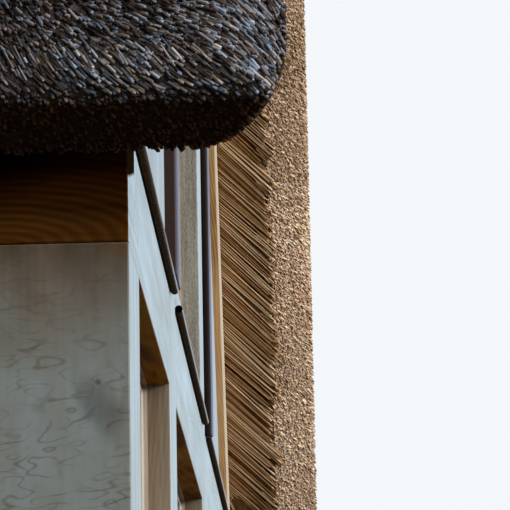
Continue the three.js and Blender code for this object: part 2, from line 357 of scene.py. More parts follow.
def merged_copy(name, turned_in=0.0):
    """A copy of a CAD node's shape with shared points, drawn in evenly from its faces."""
    bm = bmesh.new()
    bm.from_mesh(bpy.data.objects[name].data)
    bmesh.ops.remove_doubles(bm, verts=bm.verts[:], dist=0.0002)
    bmesh.ops.dissolve_limit(bm, angle_limit=0.01, verts=bm.verts[:], edges=bm.edges[:])
    bm.normal_update()
    moves = [(v, v.normal * v.calc_shell_factor() * -turned_in) for v in bm.verts]
    for v, move in moves:
        v.co += move
    return bm


def soften(bm, edges, width, segments=1):
    """Takes off edges of a bmesh."""
    bmesh.ops.bevel(bm, geom=edges, offset=width, affect="EDGES", segments=segments, profile=0.5,
                    material=-1)


brick_finish = masonry_finish("brick_red_brown", BRICK_COLOURS, 45.0, True)
mortar_finish = masonry_finish("mortar_lime", MORTAR_COLOURS, 80.0, False)
plinth_low, plinth_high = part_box("brick_plinth")
door_low, door_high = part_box("door")
course = (plinth_high.z - ON_EDGE_HIGH) / STRETCHER_COURSES
wall = plinth_high.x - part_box("corner_post_south_east")[0].x

block = bmesh.new()
bmesh.ops.create_cube(block, size=1.0)
soften(block, block.edges[:], BRICK_ARRIS / BRICK.y)


def bricks_along(run_low, run_high, size, shift):
    """The ends of the bricks of one course along a run."""
    first = run_low - shift
    for index in range(math.ceil((run_high - first) / (size + MORTAR))):
        place = first + index * (size + MORTAR)
        start, end = max(place, run_low), min(place + size, run_high)
        if end - start > SHORTEST_BRICK:
            yield start, end


def plinth_bricks():
    """Boxes of all bricks: two long walls, then two short walls between their bricks."""
    runs = [
        (0, plinth_low.y, 1, ((plinth_low.x, door_low.x), (door_high.x, plinth_high.x))),
        (0, plinth_high.y, -1, ((plinth_low.x, plinth_high.x),)),
        (1, plinth_low.x, 1, ((plinth_low.y, plinth_high.y),)),
        (1, plinth_high.x, -1, ((plinth_low.y, plinth_high.y),)),
    ]
    rows = [(i * course, (i + 1) * course - MORTAR, BRICK.x, BRICK.y) for i in range(STRETCHER_COURSES)]
    rows.append((STRETCHER_COURSES * course, plinth_high.z, ON_EDGE, wall))
    for axis, face, inwards, stretches in runs:
        for number, (low, high, length, depth) in enumerate(rows):
            shift = BRICK.x / 2 if number % 2 else 0.0
            room = axis * (depth + MORTAR)
            near, far = sorted((face, face + inwards * depth))
            for run_low, run_high in stretches:
                for start, end in bricks_along(run_low + room, run_high - room, length, shift):
                    if axis == 0:
                        yield (start, near, low), (end, far, high)
                    else:
                        yield (near, start, low), (far, end, high)


bricks = join_boxes("plinth_bricks", template(block), np.array(list(plinth_bricks())),
                    np.random.default_rng(11))
part_of_cottage(bricks, "brick", brick_finish, "brick_plinth")
part_of_cottage(new_piece("plinth_mortar", merged_copy("brick_plinth", RAKED_BACK)), "brick", mortar_finish)

# The oak posts are sawn square, stand on the plinth and run up beside the windows. They are
# air-dried oak: brown where the roof shelters them and silver grey where the weather comes.
# Their faces on the gables are painted paler and bluer still, as the cool sky light on them.
ARRIS = 0.0035
REVEAL_OAK = ((0.0, (0.06, 0.030, 0.012)), (0.5, (0.215, 0.130, 0.066)), (1.0, (0.40, 0.29, 0.18)))
BEIGE_OAK = ((0.0, (0.125, 0.100, 0.072)), (0.5, (0.315, 0.275, 0.215)), (1.0, (0.50, 0.455, 0.38)))
UNDER_OAK = ((0.0, (0.025, 0.006, 0.001)), (0.36, (0.17, 0.050, 0.003)), (0.5, (0.32, 0.106, 0.004)),
             (1.0, (0.46, 0.23, 0.03)))
EDGE_GREY = (0.30, 0.285, 0.24, 1.0)
SHELTERED_OAK = ((0.0, (0.050, 0.013, 0.002)), (0.5, (0.20, 0.072, 0.012)), (1.0, (0.36, 0.16, 0.035)))
GREY_OAK = ((0.0, (0.19, 0.155, 0.11)), (0.45, (0.28, 0.29, 0.255)), (0.7, (0.315, 0.36, 0.345)),
            (1.0, (0.37, 0.42, 0.41)))
# Gable faces: weathered silver oak, painted paler and bluer than the eaves faces of the same oak, as the sky
# light that falls on them.
SILVER_OAK_AND_SKY_LIGHT = ((0.0, (0.27, 0.24, 0.18)), (0.3, (0.35, 0.365, 0.335)), (0.5, (0.395, 0.43, 0.42)),
            (1.0, (0.50, 0.56, 0.575)))
FLECK_COLOUR = (0.12, 0.075, 0.040, 1.0)
FLECKS = (((11.0, 11.0, 30.0), (4.0, 1.0, 6.0), 0.52), ((17.0, 17.0, 40.0), (1.0, 7.0, 2.0), 0.44))
FLECK_LINES = 9.0
KNOT_AT = (3.044, 0.0, 2.652)
STAIN_AT = (3.040, 0.0, 2.612)
KNOT_COLOUR = (0.045, 0.040, 0.035, 1.0)
KNOT_SIZE = (0.009, 0.003)
STAIN_LEAN = 0.51
STAIN_DRAWN = (27.0, 1.0, 14.0)
# Painted shade under the eaves for the wall plates: how dark their faces and gable ends are painted towards
# the thatch.
PLATE_PAINTED_SHADE_RAMP = ((0.0, (0.80, 0.76, 0.66)), (0.25, (0.62, 0.56, 0.44)), (0.5, (0.42, 0.33, 0.18)),
              (0.68, (0.20, 0.13, 0.06)), (0.8, (0.07, 0.045, 0.03)), (1.0, (0.04, 0.03, 0.02)))
PLATE_FOOT = 2.90
PLATE_RISE = 0.17
PLATE_LEAN = 0.30
PLATE_INNER = 2.487
CRACK_COLOUR = (0.05, 0.032, 0.018, 1.0)
RING_SCALE = 30.0
GABLE_FACE = 3.080
EAVES_FACE = 2.64
UPPER_STOREY = 3.15
SHELTER_LOW = 2.68
SHELTER_HIGH = 2.90
ARCHES_AT = (2.88, 2.895)
ARCHES_LONG = 2.7
ARCHES_SCALE = 25.0
FIBRES = (170.0, 170.0, 6.0)
STREAKS = (28.0, 28.0, 1.5)
BLOTCHES = (6.0, 6.0, 2.6)
SAWN = (330.0, 330.0, 90.0)
MOTTLE = (15.0, 15.0, 7.0)
RAYS = (11.0, 11.0, 15.0)
SPLITS = (9.0, 9.0, 0.6)
SPLIT_WIDTH = 0.0014
SPLIT_DARK = 0.3
BEND = (1.2, 1.2, 1.0)
TRUNK_AT = (0.10, 0.045, 0.0)
TRUNK_LEAN = (0.035, -0.05, 0.0)
ARCHES_FADE = (0.42, 0.22)
EDGE_FADE = (3.03, 3.09)
FLECK_BAND = (0.68, 1.0)
RAY_BAND = (0.44, 0.60)
# Painted shade on the plates' gable ends: where it steps in, and how dark it is.
PLATE_END_SHADE_STEP = (0.68, 0.72)
WHITE = (1.0, 1.0, 1.0, 1.0)
PLATE_END_PAINTED_SHADE = (0.022, 0.010, 0.003, 1.0)
GRAIN_ORDER = ((1, 2, 0), (2, 0, 1), (0, 1, 2))


def pattern(*layers):
    """A sum of patterns about their middle, each by its own weight."""
    total = 0.5
    for amount, weight in layers:
        total = total + (amount - 0.5) * weight
    return total


def faces_out(place, beyond, facing):
    """One on an outer face: further out than a wall's face along one axis, and square to that axis."""
    return (abs(place) > beyond) * (abs(facing) > 0.5)


def growth_rings(place, scale, distortion, fine, axis):
    """Rings about an axis, a little uneven."""
    sockets = {"Vector": place, "Scale": scale, "Distortion": distortion, "Detail": 2.0,
               "Detail Scale": fine}
    return node("TexWave", sockets, "Fac", wave_type="RINGS", rings_direction=axis)


def knot(x, z, amount):
    """A small dark knot, and the grey stain that runs from it."""
    place = node("CombineXYZ", {0: x, 2: z})
    from_knot = node("VectorMath", {0: place, 1: KNOT_AT}, "Value", operation="DISTANCE")
    core = span(from_knot, *KNOT_SIZE)
    from_stain = node("VectorMath", {0: place, 1: STAIN_AT}, operation="SUBTRACT")
    leaning = stretched(from_stain, (1.0, 1.0, 1.0), turned=(0.0, STAIN_LEAN, 0.0))
    reach = node("VectorMath", {0: stretched(leaning, STAIN_DRAWN)}, "Value", operation="LENGTH")
    stain = span(reach + (amount - 0.5) * 1.2, 1.2, 0.1, 0.46, smooth=True)
    return maths("MAXIMUM", core * 0.6, stain)


def oak_finish(name, reveal=REVEAL_OAK, upper=BEIGE_OAK, under=UNDER_OAK, eaves=GREY_OAK, gable=SILVER_OAK_AND_SKY_LIGHT,
               rings=0.10, sway=0.07, roofed=False, edge_grey=0.0, gloss=0.04):
    """Oak by its grain attribute: across, across and along. Each side has its own weathering. The gable
    faces take a paler copy that is partly painted sky light, and a roofed plate is painted darker towards
    the thatch as shade.
    """
    made, tree = new_finish(name, 0.75, gloss)
    grain = attribute(tree, "grain", "Vector")
    fibres = speckle(grain, FIBRES, 4.0, 0.65)
    streaks = speckle(grain, STREAKS)
    blotches = speckle(grain, BLOTCHES)
    bend = speckle(stretched(grain, BEND), 1.5, 2.0, 0.5).beside("Color")
    bent = node("VectorMath", {0: bend, 1: (0.5, 0.5, 0.5)}, operation="SUBTRACT")
    moved = node("VectorMath", {0: bent, "Scale": sway}, operation="SCALE")
    swayed = node("VectorMath", {0: grain, 1: moved}, operation="ADD")
    trunk = stretched(swayed, (1.0, 1.0, 1.0), TRUNK_AT, TRUNK_LEAN)
    growth = growth_rings(trunk, RING_SCALE, 1.6, 0.5, "Z")
    x, y, z = parts(object_place(tree))
    if roofed:
        across = x - ARCHES_AT[0]
        flat = node("CombineXYZ", {0: across / ARCHES_LONG, 2: z - ARCHES_AT[1]})
        arches = growth_rings(flat, ARCHES_SCALE, 2.2, 0.8, "Y")
        near = span(abs(across), *ARCHES_FADE)
        growth = node("Mix", {0: near, 2: growth, 3: arches}, data_type="FLOAT")
    amount = pattern((fibres, 0.45), (streaks, 0.85), (blotches, 0.75), (growth, rings))
    face_x, face_y, face_z = parts(node("NewGeometry", {}, "Normal", tree))
    on_gable = faces_out(x, GABLE_FACE, face_x)
    on_eaves = faces_out(y, EAVES_FACE, face_y)
    weathered = on_eaves * span(z + (blotches - 0.5) * 0.5, SHELTER_HIGH, SHELTER_LOW)

    outer_edge = span(abs(x), *EDGE_FADE, edge_grey)
    colour = mixed(outer_edge, ramp(amount, reveal), EDGE_GREY)
    sawn = speckle(grain, SAWN, 2.0, 0.6)
    rough = pattern((fibres, 0.9), (streaks, 0.6), (blotches, 0.5), (sawn, 1.3))
    colour = mixed(z > UPPER_STOREY, colour, ramp(rough, upper))
    stained = pattern((fibres, 0.5), (streaks, 0.6), (blotches, 1.9), (growth, rings))
    colour = mixed(face_z < -0.5, colour, ramp(stained, under))
    mottle = speckle(grain, MOTTLE, shift=(2.0, 5.0, 1.0))
    worn = pattern((fibres, 0.08), (streaks, 0.07), (blotches, 0.95), (mottle, 0.75), (growth, rings * 0.3))
    if not roofed:
        colour = mixed(on_eaves, colour, ramp(worn, reveal))
    colour = mixed(weathered, colour, ramp(worn, eaves))
    open_air = maths("MAXIMUM", weathered, on_eaves * 0.6)
    for size, where, strength in FLECKS:
        curls = maths("PINGPONG", speckle(grain, size, 0.6, shift=where) * FLECK_LINES, 1.0)
        curls = span(curls, *FLECK_BAND, smooth=True)
        shown = span(speckle(grain, RAYS, 2.0, shift=where), *RAY_BAND) * open_air
        colour = mixed(curls * strength * shown, colour, FLECK_COLOUR)
    near_post = on_eaves * (y < 0.0)
    colour = mixed(near_post * knot(x, z, mottle), colour, KNOT_COLOUR)
    # Painted light: faces on the gables take the paler copy of the oak, for the cool sky light on them as
    # well as their weathering.
    colour = mixed(on_gable, colour, ramp(amount, gable))
    split = speckle(grain, SPLITS, 1.0, 0.3, (3.0, 1.0, 2.0))
    split = span(abs(split - 0.5), SPLIT_WIDTH, 0.0, SPLIT_DARK, smooth=True) * (1.0 - on_eaves)
    colour = mixed(split, colour, CRACK_COLOUR)
    # Painted shade: a roofed plate is darkened towards the thatch, and on its gable end above a slanting
    # line, as the shade under the eaves.
    if roofed:
        inwards = maths("MAXIMUM", EAVES_FACE - abs(y), 0.0) * PLATE_LEAN
        up = span(z - inwards, PLATE_FOOT, PLATE_FOOT + PLATE_RISE)
        level = on_eaves * up + (1.0 - on_eaves) * span(up, *PLATE_END_SHADE_STEP)
        shade = mixed(on_eaves, mixed(level, WHITE, PLATE_END_PAINTED_SHADE), ramp(level, PLATE_PAINTED_SHADE_RAMP))
        colour = mixed(abs(y) > PLATE_INNER, colour, mixed(1.0, colour, shade, "MULTIPLY"))
    relief = (pattern((fibres, 1.0), (growth, rings)) - split) * (1.0 - on_eaves * 0.8)
    return finished(made, colour, relief, 0.0012, 0.6)


def places_of(mesh):
    places = np.empty(len(mesh.vertices) * 3)
    mesh.vertices.foreach_get("co", places)
    return places.reshape(-1, 3)


def grain_of(piece, centre, along, seed):
    """Writes how each point lies in its timber: two places across the grain, and one along it."""
    chance = np.random.default_rng(seed)
    shift = np.append(chance.uniform(-0.10, 0.10, 2), chance.uniform(-20.0, 20.0))
    write(piece.data, "grain", (places_of(piece.data) - np.array(centre))[:, GRAIN_ORDER[along]] + shift)


def add_box(bm, low, high, arris=ARRIS, segments=2):
    """A box between two corners, with its edges taken off."""
    low, high = Vector(low), Vector(high)
    corners = bmesh.ops.create_cube(bm, size=1.0)["verts"]
    bmesh.ops.scale(bm, vec=high - low, verts=corners)
    bmesh.ops.translate(bm, vec=(low + high) / 2, verts=corners)
    if arris:
        soften(bm, list({edge for corner in corners for edge in corner.link_edges}), arris, segments)


def timber(node_name, along, seed, finish):
    """A squared timber in place of a CAD node, with its grain along one axis."""
    low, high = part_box(node_name)
    bm = bmesh.new()
    add_box(bm, low, high)
    piece = new_piece(node_name + "_timber", bm)
    grain_of(piece, (low + high) / 2, along, seed)
    part_of_cottage(piece, "oak", finish, node_name)


oak = oak_finish("oak_air_dried", edge_grey=0.28)
seed = 100
for side in ("east", "west"):
    for post in ("corner_post_south_{}", "corner_post_north_{}", "gable_post_{}_1", "gable_post_{}_2"):
        seed += 1
        timber(post.format(side), 2, seed, oak)
timber("wall_post_south", 2, 110, oak)
timber("wall_post_north", 2, 111, oak)

# The wall plates lie over the posts of both eaves walls in one length and carry the rafters'
# feet. They are plain sawn oak, and under the deep eaves they keep its brown, with long arcs.
# Towards the thatch their colour is painted darker, to near black, as the shade under the eaves.
plate_oak = oak_finish("oak_sheltered_and_shaded", *[SHELTERED_OAK] * 4, rings=0.26, sway=0.24, roofed=True, gloss=0.0)
timber("wall_plate_south", 0, 120, plate_oak)
timber("wall_plate_north", 0, 121, plate_oak)

# The gable beams are let in between the posts of each gable, level with the wall plates.
for side in ("east", "west"):
    for number in (1, 2, 3):
        seed += 1
        timber(f"gable_beam_{side}_{number}", 1, seed, oak)

# The floors are oiled boards, nailed on joists over the lower room and laid on the ground
# slab below.
FLOOR_BOARD = 0.145
BOARD_GAP = 0.002
FLOOR_BOARD_THICK = 0.028
JOIST = Vector((0.09, 0.0, 0.17))
JOIST_SPACING = 0.45
BOARD_FIBRES = (110.0, 4.0)
BOARD_STREAKS = (16.0, 16.0, 1.3)
FLOOR_COLOURS = ((0.0, (0.14, 0.080, 0.035)), (0.5, (0.30, 0.185, 0.090)), (1.0, (0.44, 0.30, 0.165)))


def board_finish(name, stops, roughness=0.6, fine=1.0):
    """Sawn boards by their grain attribute, each with its own tone."""
    made, tree = new_finish(name, roughness)
    grain = attribute(tree, "grain", "Vector")
    across, along = BOARD_FIBRES
    fibres = speckle(grain, (across * fine, across * fine, along), 4.0, 0.65)
    amount = fibres * 0.5 + speckle(grain, BOARD_STREAKS) * 0.5 + (attribute(tree, "tone") - 0.5) * 0.4
    return finished(made, ramp(amount, stops), fibres, 0.001, 0.6)


def boards_piece(name, boxes, along, seed, arris=0.0025):
    """Many boards as one mesh, each with its own stretch of grain and its own tone."""
    chance = np.random.default_rng(seed)
    cube = bmesh.new()
    bmesh.ops.create_cube(cube, size=1.0)
    boxes = np.array(boxes, dtype=float)
    piece = join_boxes(name, template(cube), boxes, chance)
    places = places_of(piece.data).reshape(len(boxes), -1, 3) - boxes.mean(axis=1)[:, None, :]
    shifts = chance.uniform(-9.0, 9.0, (len(boxes), 1, 3))
    write(piece.data, "grain", (places[:, :, GRAIN_ORDER[along]] + shifts).reshape(-1, 3))
    modifier = piece.modifiers.new("soften", "BEVEL")
    modifier.width = arris
    modifier.segments = 1
    modifier.limit_method = "ANGLE"
    return piece


def board_rows(low, high, axis, width, gap):
    """Low and high ends of the boards that fill a stretch along one axis."""
    count = max(1, round((high[axis] - low[axis]) / width))
    step = (high[axis] - low[axis]) / count
    for index in range(count):
        start, end = Vector(low), Vector(high)
        start[axis] = low[axis] + index * step + gap / 2
        end[axis] = low[axis] + (index + 1) * step - gap / 2
        yield start, end


flooring = board_finish("flooring_oiled", FLOOR_COLOURS, 0.45)
low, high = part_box("ground_floor")
room_low = Vector((low.x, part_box("upper_floor")[0].y, high.z - FLOOR_BOARD_THICK))
slab = merged_copy("ground_floor")
for v in slab.verts:
    v.co.z = min(v.co.z, high.z - FLOOR_BOARD_THICK)
part_of_cottage(new_piece("ground_slab", slab), "brick", mortar_finish)
ground_rows = list(board_rows(room_low, high, 1, FLOOR_BOARD, BOARD_GAP))
ground_boards = boards_piece("ground_floor_boards", ground_rows, 0, 21)
part_of_cottage(ground_boards, "flooring", flooring, "ground_floor")

low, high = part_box("upper_floor")
boards_low = Vector((low.x, low.y, high.z - FLOOR_BOARD_THICK))
upper_rows = list(board_rows(boards_low, high, 1, FLOOR_BOARD, BOARD_GAP))
upper_boards = boards_piece("upper_floor_boards", upper_rows, 0, 22)
part_of_cottage(upper_boards, "flooring", flooring, "upper_floor")
joists = []
joist_count = round((high.x - low.x - JOIST.x) / JOIST_SPACING)
for index in range(joist_count + 1):
    x = low.x + index * (high.x - low.x - JOIST.x) / joist_count
    joists.append(((x, low.y, boards_low.z - JOIST.z), (x + JOIST.x, high.y, boards_low.z)))
part_of_cottage(boards_piece("floor_joists", joists, 1, 23), "shaded_oak", plate_oak)

# The windows are fixed oak frames behind the posts' faces. The glass is let into them, and
# oak bars divide it into tall lights.
FRAME_RECESS = 0.050
FRAME_DEPTH = 0.085
FRAME_WIDTH = 0.034
SASH_WIDTH = 0.018
SASH_STEP = 0.011
SASH_EDGE = 0.001
FRAME_ARRIS = 0.002
BAR_ARRIS = 0.003
BAR_WIDTH = 0.040
BAR_DEPTH = 0.070
LIGHT_WIDTH = 0.72
TRANSOM_DROP = 0.46
CREAM_OAK = ((0.0, (0.30, 0.215, 0.145)), (0.5, (0.45, 0.355, 0.255)), (1.0, (0.58, 0.48, 0.37)))
GLASS_COLOUR = (0.80, 0.88, 0.88, 1.0)
WALL_LINE = -plinth_low.y


def glass_finish():
    clear = {"Base Color": GLASS_COLOUR, "Transmission Weight": 0.92, "IOR": 1.45}
    made, tree = new_finish("glass_clear", 0.03, more=clear)
    return finished(made, None, speckle(object_place(tree), 1.7, 1.0), 0.004, 0.04)


def upright(across, up, wall_axis, face):
    """A point from its place across a wall, its height and the wall's face."""
    return Vector((face, across, up)) if wall_axis == 0 else Vector((across, face, up))


def pushed(bm, faces, by):
    """Draws faces out into a solid, by a vector."""
    grown = bmesh.ops.extrude_face_region(bm, geom=faces)
    moved = [item for item in grown["geom"] if isinstance(item, bmesh.types.BMVert)]
    bmesh.ops.translate(bm, vec=by, verts=moved)


def window_frame(name, outline, wall_axis, outside, inwards, seed, transom):
    """A frame inside an outline of points across and up, with bars. It lies FRAME_RECESS in."""
    front = outside + inwards * FRAME_RECESS
    bm = bmesh.new()
    pane = bm.faces.new([bm.verts.new(upright(across, up, wall_axis, front)) for across, up in outline])
    depth = upright(0, 0, wall_axis, inwards)
    bmesh.ops.inset_region(bm, faces=[pane], thickness=FRAME_WIDTH, use_even_offset=True, use_boundary=True)
    bmesh.ops.inset_region(bm, faces=[pane], thickness=SASH_EDGE, use_even_offset=True)
    bmesh.ops.translate(bm, vec=depth * SASH_STEP, verts=pane.verts[:])
    bmesh.ops.inset_region(bm, faces=[pane], thickness=SASH_WIDTH, use_even_offset=True)
    bmesh.ops.delete(bm, geom=[pane], context="FACES")
    pushed(bm, bm.faces[:], depth * (FRAME_DEPTH - SASH_STEP))
    bmesh.ops.recalc_face_normals(bm, faces=bm.faces[:])
    soften(bm, [edge for edge in bm.edges if edge.calc_face_angle(0.0) > 0.5], FRAME_ARRIS)

    (low_across, low_up), _, (high_across, high_up), _ = outline
    near, back = sorted(front + inwards * (FRAME_DEPTH + side * BAR_DEPTH) / 2 for side in (-1, 1))
    rim = FRAME_WIDTH / 2
    half = BAR_WIDTH / 2
    lights = max(1, round((high_across - low_across) / LIGHT_WIDTH))
    bars = []
    for index in range(1, lights):
        middle = low_across + index * (high_across - low_across) / lights
        bars.append((middle - half, middle + half, low_up + rim, high_up - rim))
    if transom:
        middle = high_up - TRANSOM_DROP
        bars.append((low_across + rim, high_across - rim, middle - half, middle + half))
    for start, end, foot, top in bars:
        add_box(bm, upright(start, foot, wall_axis, near), upright(end, top, wall_axis, back), BAR_ARRIS, 1)
    piece = new_piece(name, bm)
    grain_of(piece, upright(low_across, low_up, wall_axis, front), 2, seed)
    part_of_cottage(piece, "oak", frame_oak)


def rectangle(low, high, axis):
    return [(low[axis], low.z), (high[axis], low.z), (high[axis], high.z), (low[axis], high.z)]


glass = glass_finish()
frame_oak = oak_finish("oak_joinery", *[CREAM_OAK] * 5, 0.05)
seed = 200
for side, way in (("east", 1), ("west", -1)):
    for pane in ("lower_1", "lower_2", "lower_3", "upper"):
        low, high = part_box(f"window_{side}_{pane}")
        seed += 1
        window_frame(f"window_{side}_{pane}_frame", rectangle(low, high, 1), 0, way * plinth_high.x, -way,
                     seed, pane != "upper")
for pane, inwards in (("window_south", 1), ("window_north_1", -1), ("window_north_2", -1)):
    low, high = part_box(pane)
    seed += 1
    window_frame(pane + "_frame", rectangle(low, high, 0), 1, -inwards * WALL_LINE, inwards, seed, True)
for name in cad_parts:
    if name.startswith("window_"):
        painted(bpy.data.objects[name], glass)

# Dark round drip bars lie along the top of the gable beams, with a gap at each post. Their
# capped ends are painted near black, as the shade inside a hollow end. A dark cover board and a
# dark round rod stand beside the upper window, over a pale sill. The dark ones are painted, and
# what faces outwards has a pale violet painted reflection of the sky, pale grey on the drip bars.
DRIP_RADIUS = 0.0092
DRIP_DROP = 0.021
DRIP_STRETCHES = ((-2.56, -1.235), (-1.045, 0.46), (0.695, 2.45))
# Painted shade: the near-black colour of the drip bars' capped ends, for the dark inside of a hollow end.
DRIP_END_PAINTED_SHADE = (0.0015, 0.0012, 0.001, 1.0)
COVER_LOW = Vector((0.006, -1.330, 0.0))
COVER_HIGH = Vector((-0.0195, -1.160, 0.0))
COVER_ROUND = 0.004
COVER_FOOT = -0.003
SILL_DEEP = 0.020
SILL_TALL = 0.055
SILL_IN = 0.002
SILL_GAP = 0.0005
# Painted reflection: the pale violet of the sky on dark paint, where it faces out of the gable.
SKY_REFLECTION_PAINT = (0.215, 0.22, 0.275, 1.0)
RUB_SCALE = 210.0
RUBBED = (0.52, 0.70)
FULL_REFLECTION = 0.98
LEAST_REFLECTION = 0.12
ROD_PLACE = 0.630
ROD_THICK = 0.0128
ROD_FOOT = -0.036
STAND_TOP = 4.80


def painted_finish(name, colour, worn, roughness, gloss, reflection, start, reach, shaded_ends=False):
    """Rubbed paint, with a painted reflection of the sky on what faces out of the gable. It comes on along
    Y. If asked, the end faces are painted near black as shade.
    """
    made, tree = new_finish(name, roughness, gloss)
    place = object_place(tree)
    rubbed = speckle(place, RUB_SCALE, 3.0, 0.6)
    paint = mixed(span(rubbed, *RUBBED), (*colour, 1.0), (*worn, 1.0))
    x, y, _ = parts(place)
    face, end, _ = parts(node("NewGeometry", {}, "Normal", tree))
    outwards = span(face * maths("SIGN", x), start, FULL_REFLECTION)
    # Painted reflection: faces turned out of the gable take the pale sky colour, which comes on along Y.
    paint = mixed(outwards * span(y, *reach, least=LEAST_REFLECTION), paint, reflection)
    # Painted shade: end faces turned along Y are painted near black.
    if shaded_ends:
        paint = mixed(abs(end) > 0.35, paint, DRIP_END_PAINTED_SHADE)
    return finished(made, paint, rubbed, 0.0006, 0.5)


def round_bar(bm, start, end, radius, rounded=0.0, segments=20, far=1.0):
    """A round bar from one point to another, with softened ends or thinner towards the far one."""
    along = end - start
    place = Matrix.Translation((start + end) / 2) @ along.to_track_quat("Z", "Y").to_matrix().to_4x4()
    made = bmesh.ops.create_cone(bm, cap_ends=True, segments=segments, radius1=radius, radius2=radius * far,
                                 depth=along.length, matrix=place)
    if rounded:
        rims = {edge for v in made["verts"] for edge in v.link_edges if edge.calc_face_angle(0.0) > 1.0}
        soften(bm, list(rims), rounded, 3)


# The drip bars' pale grey is a painted highlight of the sky along their outer side.
drip_paint = painted_finish("drip_bar_dark_brown", (0.046, 0.026, 0.014), (0.15, 0.098, 0.062), 0.5, 0.0,
                            (0.40, 0.40, 0.40, 1.0), 0.76, (-2.1, -1.3), True)
rod_paint = painted_finish("rod_dark_brown_sky_reflection", (0.015, 0.006, 0.004), (0.024, 0.011, 0.008), 0.45, 0.08,
                           SKY_REFLECTION_PAINT, 0.42, (COVER_LOW.y, COVER_HIGH.y))
cover_paint = painted_finish("cover_brown_sky_reflection", (0.040, 0.021, 0.016), (0.050, 0.027, 0.021), 0.45, 0.08,
                             SKY_REFLECTION_PAINT, 0.30, (COVER_LOW.y, COVER_HIGH.y - 0.04))
beam_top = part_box("gable_beam_east_1")[1].z
for side, way in (("east", 1), ("west", -1)):
    outside = way * plinth_high.x
    for number, (start, end) in enumerate(DRIP_STRETCHES, 1):
        bm = bmesh.new()
        x, z = outside + way * DRIP_RADIUS, beam_top - DRIP_DROP
        round_bar(bm, Vector((x, start, z)), Vector((x, end, z)), DRIP_RADIUS, DRIP_RADIUS * 0.25)
        part_of_cottage(new_piece(f"drip_bar_{side}_{number}", bm), "shaded_oak", drip_paint)
    bm = bmesh.new()
    nose = outside - way * COVER_HIGH.x
    x_low, x_high = sorted((outside - way * COVER_LOW.x, nose))
    add_box(bm, (x_low, COVER_LOW.y, beam_top + COVER_FOOT), (x_high, COVER_HIGH.y, STAND_TOP), 0.0)
    chosen = [edge for edge in bm.edges if abs(sum(v.co.x for v in edge.verts) / 2 - nose) < 1e-5
              and edge.calc_length() > 1.0]
    soften(bm, chosen, COVER_ROUND, 6)
    part_of_cottage(new_piece(f"cover_board_{side}", bm), "shaded_oak", cover_paint)
    bm = bmesh.new()
    x = outside + way * ROD_THICK
    round_bar(bm, Vector((x, ROD_PLACE, beam_top + ROD_FOOT)), Vector((x, ROD_PLACE, STAND_TOP)), ROD_THICK,
              ROD_THICK * 0.6)
    part_of_cottage(new_piece(f"window_rod_{side}", bm), "shaded_oak", rod_paint)
    low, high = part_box(f"window_{side}_upper")
    bm = bmesh.new()
    x_low, x_high = sorted((outside, outside - way * SILL_DEEP))
    add_box(bm, (x_low, low.y + SILL_IN, beam_top + SILL_GAP),
            (x_high, high.y - SILL_IN, beam_top + SILL_TALL), 0.001, 1)
    sill = new_piece(f"upper_sill_{side}", bm)
    grain_of(sill, (outside, 0.0, beam_top), 1, 95)
    part_of_cottage(sill, "oak", oak)

# The gable boards close both bays beside the upper window, and the triangle over the collar.
# They are upright oak boards with fine V joints, silvered by the weather.
GABLE_BOARD = 0.105
BOARD_GAP_DEPTH = 0.004
SHORTEST_BOARD = 0.002
THINNEST_POINT = 0.0005
SHORTEST_JOINT = 0.02
PITCH = math.radians(57.0)
THATCH_UNDERSIDE = 3.180
RAFTER_DEPTH = 0.180
RAFTER_GAP = 0.0003
PALE_BOARDS = ((0.0, (0.27, 0.285, 0.28)), (0.5, (0.36, 0.39, 0.385)), (1.0, (0.46, 0.50, 0.495)))


def upright_boards(node_name, top, seed):
    """Boards side by side along Y in place of a CAD node, each with its top cut to a line."""
    low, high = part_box(node_name)
    count = round((high.y - low.y) / GABLE_BOARD)
    step = (high.y - low.y) / count
    bm = bmesh.new()
    for index in range(count):
        start, end = low.y + index * step, low.y + (index + 1) * step
        cuts = [start, 0.0, end] if start < -1e-6 and end > 1e-6 else [start, end]
        if min(top(start), top(end)) - low.z < SHORTEST_BOARD:
            if top(start) > top(end):
                end -= SHORTEST_BOARD
            else:
                start += SHORTEST_BOARD
            cuts = [start, end]
        points = [(start, low.z), (end, low.z)]
        points += [(y, max(top(y), low.z + THINNEST_POINT)) for y in reversed(cuts)]
        face = bm.faces.new([bm.verts.new((low.x, y, z)) for y, z in points])
        pushed(bm, [face], (high.x - low.x, 0, 0))
    bmesh.ops.recalc_face_normals(bm, faces=bm.faces[:])
    joints = [edge for edge in bm.edges
              if (edge.verts[0].co - edge.verts[1].co).xy.length < 1e-6
              and edge.calc_length() > SHORTEST_JOINT]
    soften(bm, joints, BOARD_GAP_DEPTH)
    piece = new_piece(node_name + "_boards", bm)
    grain_of(piece, (low.x, 0.0, low.z), 2, seed)
    tones = np.random.default_rng(seed).uniform(0.1, 0.9, count + 1)
    places = [int((v.co.y - low.y) / step + 1e-4) for v in piece.data.vertices]
    write(piece.data, "tone", tones[np.minimum(places, count)])
    part_of_cottage(piece, "boards", gable_board_finish, node_name)


def under_rafter(y):
    """The height of the rafters' underside, at a distance along Y from the ridge."""
    drop = (RAFTER_DEPTH + RAFTER_GAP) / math.cos(PITCH)
    return THATCH_UNDERSIDE + (WALL_LINE - abs(y)) * math.tan(PITCH) - drop


def under_collar(y):
    return min(under_rafter(y), collar_bottom)


collar_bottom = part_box("window_east_upper")[1].z
gable_board_finish = board_finish("boards_silvered", PALE_BOARDS, 0.7, 0.8)
for side in ("east", "west"):
    for number, (place, top) in enumerate((("south", under_collar), ("north", under_collar),
                                           ("top", under_rafter))):
        upright_boards(f"gable_boards_{side}_{place}", top, 31 + number)

